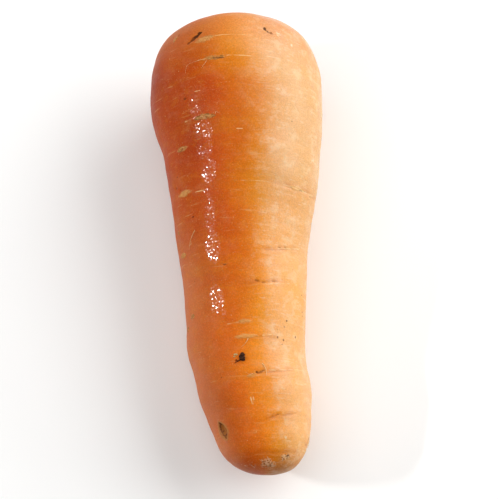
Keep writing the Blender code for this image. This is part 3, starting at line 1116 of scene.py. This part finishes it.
# painted shade: the left edge of the shoulder is darker and redder
painted_shoulder_edge_shade = times(
    tree,
    remap(tree, rightward, -0.72, -0.95),
    remap(tree, wavy_down, 9.0, 25.0),
    remap(tree, wavy_down, 46.0, 26.0),
)
colour = coated(
    tree,
    colour,
    (painted_top_light, PAINTED_TOP_LIGHT, "MULTIPLY"),
    (remap(tree, down_root, 60.0, 100.0), THIN_END_LIGHT, "MULTIPLY"),
    # painted shade: the tip is darkened
    (remap(tree, down_root, 143.5, 152.0, 0.0, 0.70), TIP_PAINTED_SHADE, "MULTIPLY"),
    (times(tree, painted_shoulder_edge_shade, 0.6), SHOULDER_EDGE_PAINTED_SHADE),
    # painted shade: the left side is deeper and darker
    (remap(tree, rightward, -0.15, -0.80), LEFT_PAINTED_SHADE, "MULTIPLY"),
)
print("with its broad shading:", len(tree.nodes), "nodes")

# %% Fine grain
# A whitish dust and a darker one, both about as fine as the eye can see.
DUST_GRAINS, DARK_GRAINS = 2300.0, 2000.0
dust = noise(tree, place, DUST_GRAINS, 2.0, 0.7, 16.0)
shade = noise(tree, place, DARK_GRAINS, 2.0, 0.7, 17.0)
dusty = times(
    tree,
    remap(tree, dust, 0.54, 0.76, 0.0, 0.26, smooth=False),
    remap(tree, rightward, -0.95, -0.25, 0.45, 1.0),
)
shaded = remap(tree, shade, 0.34, 0.66, 0.0, 0.34, smooth=False)
colour = coated(tree, colour, (dusty, DUST), (shaded, DARKER, "MULTIPLY"))
print("with the grain:", len(tree.nodes), "nodes")

# %% Flecks
# cells to the metre, where a fleck starts and is full in cell widths, chance, strength
FLECKS = (
    (330.0, 0.080, 0.030, 0.60, 0.62),
    (620.0, 0.150, 0.060, 0.45, 0.32),
)
CHANCE_EDGE = 0.05
strewn = noise(tree, place, 160.0, 2.0, 0.5, 15.0)
for per_metre, outer, inner, chance, strength in FLECKS:
    from_middle, tint = cells(tree, place, per_metre)
    fleck = remap(tree, from_middle, outer, inner)
    chosen = remap(tree, total(tree, tint, strewn, -0.5), chance, chance + CHANCE_EDGE)
    colour = coated(tree, colour, (times(tree, fleck, chosen, strength), PALE_CORK))
print("with flecks:", len(tree.nodes), "nodes")

# %% Fine lines, dried film, a painted reflection and pores
THREADS, DRY_PATCHES, STREAKS, PORES = 900.0, 250.0, 1500.0, 210.0
threads = noise(tree, scaled(tree, place, (0.10, 1.0, 0.10)), THREADS, 3.0, 0.65, 5.0)
dry_patches = noise(tree, scaled(tree, place, (0.8, 1.0, 0.8)), DRY_PATCHES, 6.0, 0.72, 22.0)
streaks = noise(tree, scaled(tree, place, (0.14, 1.0, 0.14)), STREAKS, 4.0, 0.7, 23.0)
dry_side = remap(tree, rightward, -0.05, 0.50, 0.12, 1.0)
# painted reflection: a whitish sheen on the lower left edge, as of the pale floor
painted_floor_reflection = times(
    tree,
    remap(tree, rightward, -0.40, -0.85),
    remap(tree, down_root, 66.0, 96.0, 0.02, 0.10),
)
from_pore, pore_tint = cells(tree, place, PORES)
pore = times(tree, remap(tree, from_pore, 0.075, 0.03), remap(tree, pore_tint, 0.80, 0.82), 0.7)
colour = coated(
    tree,
    colour,
    (remap(tree, threads, 0.60, 0.74, 0.0, 0.40), PALE_CORK),
    (painted_floor_reflection, WHITISH),
    (times(tree, remap(tree, dry_patches, 0.48, 0.64, 0.0, 0.32), dry_side), WHITISH),
    (times(tree, remap(tree, streaks, 0.54, 0.70, 0.0, 0.42), dry_side), WHITISH),
    (pore, SLIT_BROWN),
)
print("with lines and pores:", len(tree.nodes), "nodes")

# %% Draw scuffs, painted glints, and creases with painted shade beside them
# Torn noise is added to the distances, in millimetres, so that no mark has an even edge.
SCUFFS, TEARS = 1000.0, 1300.0
scuffs = noise(tree, scaled(tree, place, (0.6, 1.0, 0.6)), SCUFFS, 4.0, 0.7, 24.0)
tears = noise(tree, scaled(tree, place, (0.5, 1.0, 0.5)), TEARS, 4.0, 0.65, 6.0)
ragged = swing(tree, tears, 1.6)
fine_ragged = times(tree, ragged, 0.28)

crease = stored(tree, "crease")
crease_fade = stored(tree, "crease_fade")
torn_crease = total(tree, crease, fine_ragged)
# painted shade on both sides of each crease
painted_crease_shade = times(tree, line_at_zero(tree, crease, 1.9, 0.2), crease_fade, 0.18)
lip_below = line_at_zero(tree, total(tree, torn_crease, -0.75), 0.34, 0.06)
crease_line = times(tree, line_at_zero(tree, torn_crease, 0.42, 0.05), stored(tree, "crease_dark"))
# scuffs, and painted glints where small bumps caught the light
scuffed_or_painted_glint = total(tree, stored(tree, "painted_glint_and_scuff"), swing(tree, scuffs, 2.6))
colour = coated(
    tree,
    colour,
    (remap(tree, scuffed_or_painted_glint, 0.42, 0.85, 0.0, 0.80), WHITISH),
    (painted_crease_shade, DEEP_ORANGE),
    (times(tree, lip_below, crease_fade, 0.22), PALE_CORK),
    (crease_line, CREASE_BROWN),
)
print("with scuffs and creases:", len(tree.nodes), "nodes")

# %% Draw scars and pale lines
SCAR_GRAIN, EDGE_BREAKS = 1900.0, 900.0
scar = stored(tree, "scar")
scar_tone = stored(tree, "scar_tone")
scar_grain = noise(tree, scaled(tree, place, (0.35, 1.0, 0.35)), SCAR_GRAIN, 3.0, 0.65, 7.0)
scar_here = drawn(tree, scar, ragged, 0.60)
cork = colour_mix(tree, remap(tree, scar_grain, 0.40, 0.64), TAN, PALE_TAN)
scar_colour = colour_mix(tree, scar_tone, PALE_SCAR, cork)
scar_edge = times(
    tree,
    line_at_zero(tree, total(tree, scar, ragged, 0.10), 0.26, 0.04),
    remap(tree, noise(tree, place, EDGE_BREAKS, 2.0, 0.5, 19.0), 0.42, 0.60),
    remap(tree, scar_tone, 0.0, 1.0, 0.15, 0.85),
)
scar_core = times(
    tree,
    drawn(tree, total(tree, scar, 0.30), ragged, 0.3),
    line_at_zero(tree, total(tree, scar_grain, -0.47), 0.035, 0.010),
    scar_tone,
    0.9,
)
pale_here = drawn(tree, stored(tree, "pale"), fine_ragged, 0.22)
colour = coated(
    tree,
    colour,
    (times(tree, scar_here, remap(tree, scar_grain, 0.30, 0.60, 0.35, 0.75)), scar_colour),
    (scar_edge, OLIVE),
    (scar_core, OLIVE),
    (times(tree, pale_here, 0.75), PALE_LINE),
)
print("with scars and pale lines:", len(tree.nodes), "nodes")

# %% Draw slits and specks
slit_tone = stored(tree, "slit_tone")
slit_here = drawn(tree, stored(tree, "slit"), ragged, 0.30)
slit_colour = colour_mix(tree, remap(tree, slit_tone, 0.3, 0.9), SLIT_RED, SLIT_BROWN)
speck_here = drawn(tree, stored(tree, "speck"), fine_ragged, 0.16)
colour = coated(
    tree,
    colour,
    (times(tree, slit_here, remap(tree, slit_tone, 0.0, 0.8, 0.40, 0.90)), slit_colour),
    (times(tree, speck_here, 0.80), SPECK_BROWN),
)
print("with slits and specks:", len(tree.nodes), "nodes")

# %% Draw the wound and the scab
WOUND_GRAIN, SCAB_GRAIN, SCAB_TINT = 1100.0, 1700.0, 1500.0
wound = stored(tree, "wound")
wound_grain = noise(tree, place, WOUND_GRAIN, 3.0, 0.6, 20.0)
wound_rim = line_at_zero(tree, total(tree, wound, ragged, -0.40), 0.85, 0.15)
wound_flesh = drawn(tree, total(tree, wound, 0.15), ragged, 0.45)
wound_colour = colour_mix(tree, remap(tree, wound_grain, 0.36, 0.54), WOUND_BROWN, WOUND_ORANGE)
wound_lip = line_at_zero(tree, total(tree, wound, fine_ragged, 0.20), 0.22, 0.04)

scab = stored(tree, "scab")
scab_grain = noise(tree, place, SCAB_GRAIN, 3.0, 0.75, 8.0)
scab_tint = noise(tree, place, SCAB_TINT, 2.0, 0.6, 21.0)
scab_here = drawn(tree, scab, swing(tree, scab_grain, 7.0), 0.8)
scab_colour = colour_mix(tree, remap(tree, scab_tint, 0.42, 0.52), SCAB_DARK, SCAB_GREY)
colour = coated(
    tree,
    colour,
    (times(tree, wound_rim, 0.65), TAN),
    (times(tree, wound_flesh, 0.92), wound_colour),
    (times(tree, wound_lip, 0.6), WOUND_BROWN),
    (times(tree, scab_here, 0.60), scab_colour),
)
print("with wound and scab:", len(tree.nodes), "nodes")

# %% Colour the crown
CROWN_PATCHES, STALK_GRAIN = 260.0, 2300.0
crown = stored(tree, "crown")
crown_patches = noise(tree, place, CROWN_PATCHES, 4.0, 0.65, 9.0)
crown_edge = total(tree, crown, swing(tree, crown_patches, 7.0))
crown_colour = colour_mix(tree, remap(tree, crown_patches, 0.42, 0.60), CROWN_BROWN, CROWN_GREEN)
stalk_grain = noise(tree, scaled(tree, place, (1.0, 0.15, 1.0)), STALK_GRAIN, 3.0, 0.6, 10.0)
stalk_colour = colour_mix(tree, remap(tree, stalk_grain, 0.4, 0.6), CROWN_BROWN, STALK_TAN)
colour = coated(
    tree,
    colour,
    (remap(tree, crown_edge, 2.6, -1.6, 0.0, 0.85), crown_colour),
    (remap(tree, stored(tree, "stalk"), 0.35, 0.9), stalk_colour),
)
feed(tree, shader.inputs["Base Color"], colour)
print("all colours:", len(tree.nodes), "nodes")

# %% [markdown]
# ## Bumps, wet film and flesh
#
# Bumps too small for the mesh are made by the material: soft pebbles under a millimetre wide,
# a finer grain, and wrinkles across the root. A thin wet film lies over them in places, and
# the shader's coat makes it. A smooth coat would show the small hard light as one white
# stripe, but the drops of a real film stand every way. So the coat's normal is turned a little
# in each small cell, another way in each, and only the cells that chance to face the light
# flash. On the right the cells are finer and turned more, which gives a dull haze instead.
# Light also goes a little way into the flesh, and that softens the whole skin.

# %% Bumps
PEBBLES, GRAINS, WRINKLES = 2200.0, 4200.0, 900.0
WRINKLE_HEIGHT, SCAR_HEIGHT, PEBBLE_HEIGHT = 0.06 * MM, 0.10 * MM, 0.035 * MM
pebble = noise(tree, place, PEBBLES, 2.0, 0.55, 11.0)
fine_grain = noise(tree, place, GRAINS, 2.0, 0.6, 12.0)
wrinkle = noise(tree, scaled(tree, place, (0.18, 1.0, 0.18)), WRINKLES, 3.0, 0.6, 13.0)
pebbles = total(tree, pebble, times(tree, fine_grain, 0.4))
wrinkled = bump(tree, wrinkle, WRINKLE_HEIGHT)
scarred = bump(tree, times(tree, scar_here, scar_grain, 1.4), SCAR_HEIGHT, wrinkled)
feed(tree, shader.inputs["Normal"], bump(tree, pebbles, PEBBLE_HEIGHT, scarred))
print("with the bumps:", len(tree.nodes), "nodes")


# %% Drops of the wet film
def tilted(tree, normal, tint, amount, along=1.0):
    """Turns the normal a little, another way in each cell, and less or more along the root."""
    turn = vectors(tree, "SUBTRACT", tint, (0.5, 0.5, 0.5))
    ways = scaled(tree, turn, (1.0, along, 1.0))
    together = vectors(tree, "ADD", normal, scaled(tree, ways, amount))
    return vectors(tree, "NORMALIZE", together)


DROPS, HAZE_GRAINS = 1700.0, 7000.0
DROP_TILT, DROP_TILT_ALONG = 0.28, 0.3
HAZE_TILT = 0.40
sparkle = stored(tree, "sparkle")
from_drop, drop_tint = cells(tree, place, DROPS)
_, haze_tint = cells(tree, place, HAZE_GRAINS)
drop_tilt = remap(tree, sparkle, 0.0, 0.4, 0.02, DROP_TILT)
haze_tilt = remap(tree, sparkle, 0.0, 0.4, HAZE_TILT, 0.0)
film_normal = tilted(tree, scarred, drop_tint, drop_tilt, DROP_TILT_ALONG)
film_normal = tilted(tree, film_normal, haze_tint, haze_tilt)
feed(tree, shader.inputs["Coat Normal"], film_normal)
print("with the drops:", len(tree.nodes), "nodes")

# %% Where the film lies
WETNESS, FILM_PATCHES = 300.0, 120.0
wetness = noise(tree, scaled(tree, place, (1.0, 0.5, 1.0)), WETNESS, 3.0, 0.6, 14.0)
film_patches = noise(tree, scaled(tree, place, (1.0, 0.6, 1.0)), FILM_PATCHES, 4.0, 0.6, 18.0)
wet_spot = remap(tree, total(tree, sparkle, swing(tree, wetness, 1.6)), 0.30, 0.62)
drops = total(tree, times(tree, remap(tree, from_drop, 0.48, 0.38), 0.92), 0.04)
wet = times(tree, wet_spot, remap(tree, sparkle, 0.0, 0.15), drops)
haze_share = remap(tree, film_patches, 0.34, 0.62, 0.28, 0.62)
haze = times(tree, stored(tree, "right_film"), haze_share)
film = maths(tree, "MAXIMUM", wet, haze)
dark_marks = maths(tree, "MAXIMUM", slit_here, speck_here)
marks_here = maths(tree, "MAXIMUM", dark_marks, times(tree, scar_here, 0.5))
coat = times(
    tree,
    film,
    remap(tree, crown, -2.0, 1.0),
    remap(tree, marks_here, 0.0, 1.0, 1.0, 0.15),
    remap(tree, wound, 0.0, 0.5),
)
feed(tree, shader.inputs["Coat Weight"], coat)
print("with the wet film:", len(tree.nodes), "nodes")

# %% Roughness and flesh
dull_marks = total(tree, scar_here, stored(tree, "stalk"), drawn(tree, scab, 0.0, 1.0))
dull = times(tree, remap(tree, dull_marks, 0.0, 1.0), 0.25)
roughness = total(tree, remap(tree, mottle, 0.3, 0.7, 0.36, 0.50), dull)
feed(tree, shader.inputs["Roughness"], roughness)
shader.inputs["IOR"].default_value = 1.45
shader.inputs["Specular IOR Level"].default_value = 0.06
shader.inputs["Coat IOR"].default_value = 1.6
shader.inputs["Coat Roughness"].default_value = 0.15
shader.inputs["Subsurface Weight"].default_value = 0.20
shader.inputs["Subsurface Radius"].default_value = (1.0, 0.32, 0.10)
shader.inputs["Subsurface Scale"].default_value = 2.0 * MM
print("the whole skin:", len(tree.nodes), "nodes")

# %% [markdown]
# ## Small things that lie on the root
#
# A few things are not skin but lie on it: fine rootlets at the scars, a crumb of soil with a
# small root of its own, and two dry flakes. Each rests on the finished skin, so its place is
# felt again, this time with rays onto the skin mesh. The rootlets are drawn as chains of
# points, and geometry nodes turn each chain into a tapered tube. The lumps are balls pushed
# out of shape by noise.

# %% Places on the finished skin
skin_surface = BVHTree.FromPolygons(
    [v.co[:] for v in skin.data.vertices], [tuple(p.vertices) for p in skin.data.polygons]
)


def on_the_skin(place_down, place_angle, above=0.0):
    """The point of the skin at a place, lifted by so many millimetres, and its normal."""
    start = Vector(middle_line(high.y - place_down * MM))
    turn = math.radians(place_angle)
    point, facing, *_ = skin_surface.ray_cast(start, Vector((math.cos(turn), 0, math.sin(turn))))
    return point + facing * above * MM, facing


GRAIN_HEIGHT = 0.08 * MM


def grained_material(name, dark, light, per_metre, roughness):
    """A rough stuff of two colours, mixed in grains of that size, with a bump that fits them."""
    material = bpy.data.materials.new(name)
    material.use_nodes = True
    tree = material.node_tree
    place = add(tree, "ShaderNodeTexCoord").outputs["Object"]
    grains = noise(tree, place, per_metre, 3.0, 0.6, 30.0)
    shader = tree.nodes["Principled BSDF"]
    grain_colour = colour_mix(tree, remap(tree, grains, 0.38, 0.62), dark, light)
    feed(tree, shader.inputs["Base Color"], grain_colour)
    feed(tree, shader.inputs["Normal"], bump(tree, grains, GRAIN_HEIGHT))
    shader.inputs["Roughness"].default_value = roughness
    shader.inputs["Specular IOR Level"].default_value = 0.2
    return material


def dress(piece):
    """Makes a finished piece part of the root."""
    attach(piece, "root")
    print(piece.name, "has", len(piece.data.polygons), "faces")


# %% Rootlets
# thickness mm, then places along the rootlet: down mm, angle, height over the skin mm
ROOTLETS = (
    (0.11, (111.6, 89.4, 0.05), (112.6, 91.2, 0.30), (113.6, 94.0, 0.18), (114.2, 96.6, 0.02)),
    (0.12, (119.3, 79.2, 0.02), (120.6, 77.4, 0.35), (122.0, 76.8, 0.40), (123.3, 77.6, 0.04)),
    (0.10, (76.2, 133.6, 0.02), (77.8, 136.6, 0.35), (79.8, 140.4, 0.35), (81.8, 143.5, 0.03)),
    (0.07, (22.9, 112.0, 0.02), (23.2, 119.0, 0.10), (23.9, 123.5, 0.20), (26.2, 125.0, 0.02)),
    (0.08, (23.6, 109.0, 0.02), (24.8, 110.6, 0.22), (25.8, 112.8, 0.02)),
    (0.07, (41.0, 106.4, 0.02), (40.3, 105.4, 0.20), (40.9, 104.0, 0.03)),
    (0.08, (122.6, 90.0, 0.02), (122.9, 93.6, 0.25), (122.2, 96.4, 0.02)),
)
BACK_ROOTLETS = 9
hair_draw = random.Random(12)
back_rootlets = []
for _ in range(BACK_ROOTLETS):
    place, angle, *_ = hair_draw.choice(back_scars)
    turn, reach_mm = hair_draw.uniform(0.0, 360.0), hair_draw.uniform(1.4, 3.4)
    bend = hair_draw.uniform(-40.0, 40.0)
    chain = [(place, angle, 0.02)]
    for step, lift_mm in ((0.4, 0.3), (0.75, 0.3), (1.0, 0.02)):
        way = math.radians(turn + bend * step)
        chain.append((place + reach_mm * step * math.sin(way),
                      angle + reach_mm * step * math.cos(way) * 2.4, lift_mm))
    back_rootlets.append((hair_draw.uniform(0.07, 0.11), *chain))
print(len(ROOTLETS) + BACK_ROOTLETS, "rootlets")


# %% Chains of points
CHAIN_STEPS = 6


def smooth_chain(points, steps):
    """More points between the given ones, along a Catmull-Rom curve."""
    ends = [2 * points[0] - points[1], *points, 2 * points[-1] - points[-2]]
    chain = []
    for before, one, two, after in zip(ends, ends[1:], ends[2:], ends[3:]):
        for step in range(steps):
            s = step / steps
            chain.append(0.5 * (2 * one + (two - before) * s
                                + (2 * before - 5 * one + 4 * two - after) * s * s
                                + (3 * one - before - 3 * two + after) * s * s * s))
    return chain + [points[-1]]


def chain_mesh(name, chains):
    """A mesh of bare edges, one string of them for each chain, which keeps its own thickness."""
    chain_points, chain_edges, chain_radii = [], [], []
    for thickness, *places in chains:
        chain = smooth_chain([on_the_skin(*place)[0] for place in places], CHAIN_STEPS)
        for point in chain:
            point.z = max(point.z, low.z + thickness * MM)
        start, last = len(chain_points), len(chain) - 1
        chain_points += [point[:] for point in chain]
        chain_edges += [(start + k, start + k + 1) for k in range(last)]
        chain_radii += [thickness * MM * (1.0 - 0.7 * k / last) for k in range(len(chain))]
    mesh = bpy.data.meshes.new(name)
    mesh.from_pydata(chain_points, chain_edges, [])
    mesh.attributes.new("thick", "FLOAT", "POINT").data.foreach_set("value", chain_radii)
    return mesh


# %% Tapered tubes
tube_tree, given, result = new_geometry_tree("tapered_tubes", (
    ("Sides", "NodeSocketInt", 6),
    ("Thickness", "NodeSocketFloat", 1.0),
    ("Material", "NodeSocketMaterial", None),
))
thickness = times(tube_tree, named(tube_tree, "thick"), given["Thickness"])
chains = fed(tube_tree, "GeometryNodeMeshToCurve", {"Mesh": given["Mesh"]})
round_form = {"Resolution": given["Sides"], "Radius": 1.0}
circle = fed(tube_tree, "GeometryNodeCurvePrimitiveCircle", round_form)
tubes = fed(tube_tree, "GeometryNodeCurveToMesh", {
    "Curve": chains.outputs[0],
    "Profile Curve": circle.outputs[0],
    "Scale": thickness,
    "Fill Caps": True,
})
set_material_and_finish(tube_tree, tubes.outputs[0], given["Material"], result)


def tapered_tubes(name, chains, material):
    """Tubes along the chains, as one piece."""
    piece = new_object(name, chain_mesh(name, chains))
    piece.data = apply_tree(piece, tube_tree, {"Sides": 6, "Thickness": 1.0, "Material": material})
    piece.data.shade_smooth()
    dress(piece)


rootlet_material = grained_material("rootlet", (0.60, 0.34, 0.12), (0.78, 0.54, 0.27), 1500.0, 0.5)
tapered_tubes("rootlets", (*ROOTLETS, *back_rootlets), rootlet_material)

# %% Crumb of soil
# seed, down mm, angle, size along the root mm, size round it mm, height mm
SOIL_LUMPS = (
    (1.0, 117.9, 97.4, 1.7, 1.6, 1.3),
    (4.0, 116.7, 96.8, 1.3, 1.5, 1.1),
    (7.0, 117.3, 98.8, 1.0, 1.0, 0.7),
)
BACK_LUMPS = (
    (9.0, 38.0, 238.0, 1.1, 1.3, 0.7),
    (11.0, 96.5, 231.0, 0.9, 1.2, 0.6),
    (13.0, 131.0, 318.0, 1.0, 0.8, 0.6),
)
FLAKES = (
    (3.0, 116.6, 103.0, 0.6, 1.3, 0.20),
    (5.0, 117.2, 104.6, 0.4, 0.7, 0.16),
)
SOIL_ROOT = (
    (0.20, (118.2, 99.2, 0.15), (118.6, 101.6, 0.25), (118.9, 103.0, 0.15), (119.3, 105.6, 0.05)),
    (0.14, (118.7, 102.4, 0.15), (118.2, 103.4, 0.22), (118.9, 104.2, 0.06)),
)


def lumps_piece(name, lumps, material):
    """Rough little lumps that lie on the skin, as one piece."""
    made = bmesh.new()
    for seed, place_down, place_angle, *sizes in lumps:
        point, facing = on_the_skin(place_down, place_angle, 0.25 * sizes[2])
        round_way = Vector((0, 1, 0)).cross(facing).normalized()
        ways = facing.cross(round_way), round_way, facing
        for vertex in bmesh.ops.create_icosphere(made, subdivisions=3, radius=1.0)["verts"]:
            coarse = turbulence.noise(vertex.co * 1.6 + Vector((seed, 0, 0)))
            fine = turbulence.noise(vertex.co * 4.0 + Vector((0, seed, 0)))
            rough = vertex.co * (1.0 + 0.45 * coarse + 0.22 * fine)
            offset = sum((way * n * half for way, n, half in zip(ways, rough, sizes)), Vector())
            vertex.co = point + offset * MM / 2
            vertex.co.z = max(vertex.co.z, low.z)
    bmesh.ops.recalc_face_normals(made, faces=made.faces)
    mesh = bpy.data.meshes.new(name)
    made.to_mesh(mesh)
    made.free()
    mesh.materials.append(material)
    mesh.shade_smooth()
    dress(new_object(name, mesh))


soil_material = grained_material("soil", (0.024, 0.008, 0.003), (0.080, 0.026, 0.010), 2500.0, 0.9)
flake_material = grained_material("dry_flake", (0.40, 0.27, 0.09), (0.62, 0.47, 0.22), 2500.0, 0.7)
lumps_piece("soil_crumb", SOIL_LUMPS + BACK_LUMPS, soil_material)
lumps_piece("dry_flakes", FLAKES, flake_material)
tapered_tubes("soil_root", SOIL_ROOT, soil_material)

# %% [markdown]
# ## Dry fibres on the cut stalks
#
# A knife leaves the stalk bases fibrous, and they dry to short stiff bristles. Their rule is
# simple: many of them, only on the stalk bases, pointing out of the crown but each a little
# its own way. Geometry nodes strew points on those faces of the skin, which the stored cover
# of the stalks picks out, and set a small cone on each.

# %% Fibres
fibre_tree, given, result = new_geometry_tree("crown_fibres", (
    ("Fibres per square metre", "NodeSocketFloat", 1e6),
    ("Length", "NodeSocketFloat", 0.001),
    ("Thickness", "NodeSocketFloat", 0.0001),
    ("Lean", "NodeSocketFloat", 0.3),
    ("Seed", "NodeSocketInt", 0),
    ("Material", "NodeSocketMaterial", None),
))
strewn_points = fed(fibre_tree, "GeometryNodeDistributePointsOnFaces", {
    "Mesh": given["Mesh"],
    "Selection": maths(fibre_tree, "GREATER_THAN", named(fibre_tree, "stalk"), 0.8),
    "Density": given["Fibres per square metre"],
    "Seed": given["Seed"],
}, distribute_method="RANDOM")
any_way = {0: (-1.0, -1.0, -1.0), "Seed": given["Seed"]}
lean = fed(fibre_tree, "FunctionNodeRandomValue", any_way, data_type="FLOAT_VECTOR").outputs[0]
leaning = vectors(fibre_tree, "ADD", (0.0, 1.0, 0.0), scaled(fibre_tree, lean, given["Lean"]))
turned = fed(fibre_tree, "FunctionNodeAlignRotationToVector", {"Vector": leaning}, axis="Z")
cone = fed(fibre_tree, "GeometryNodeMeshCone", {
    "Vertices": 5,
    "Radius Top": 0.0,
    "Radius Bottom": given["Thickness"],
    "Depth": given["Length"],
})
growth = fed(fibre_tree, "FunctionNodeRandomValue", {2: 0.4, 3: 1.2}, data_type="FLOAT")
fibres_set = fed(fibre_tree, "GeometryNodeInstanceOnPoints", {
    "Points": strewn_points.outputs["Points"],
    "Instance": cone.outputs["Mesh"],
    "Rotation": turned.outputs[0],
    "Scale": growth.outputs[1],
})
set_material_and_finish(fibre_tree, fibres_set.outputs[0], given["Material"], result)

fibre_material = grained_material("dry_fibre", (0.16, 0.10, 0.035), (0.42, 0.30, 0.13), 1800.0, 0.7)
fibres = new_object("crown_fibres", apply_tree(skin, fibre_tree, {
    "Fibres per square metre": 4.5e6,
    "Length": 0.9 * MM,
    "Thickness": 0.10 * MM,
    "Lean": 0.35,
    "Seed": 5,
    "Material": fibre_material,
}))
dress(fibres)

# %% [markdown]
# ## Hand over
#
# The skin takes the place of the solid root, which is hidden. The dressed root has to stay
# the size of the solid one.

# %% Dress the skin
dress(skin)
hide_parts("carrot")
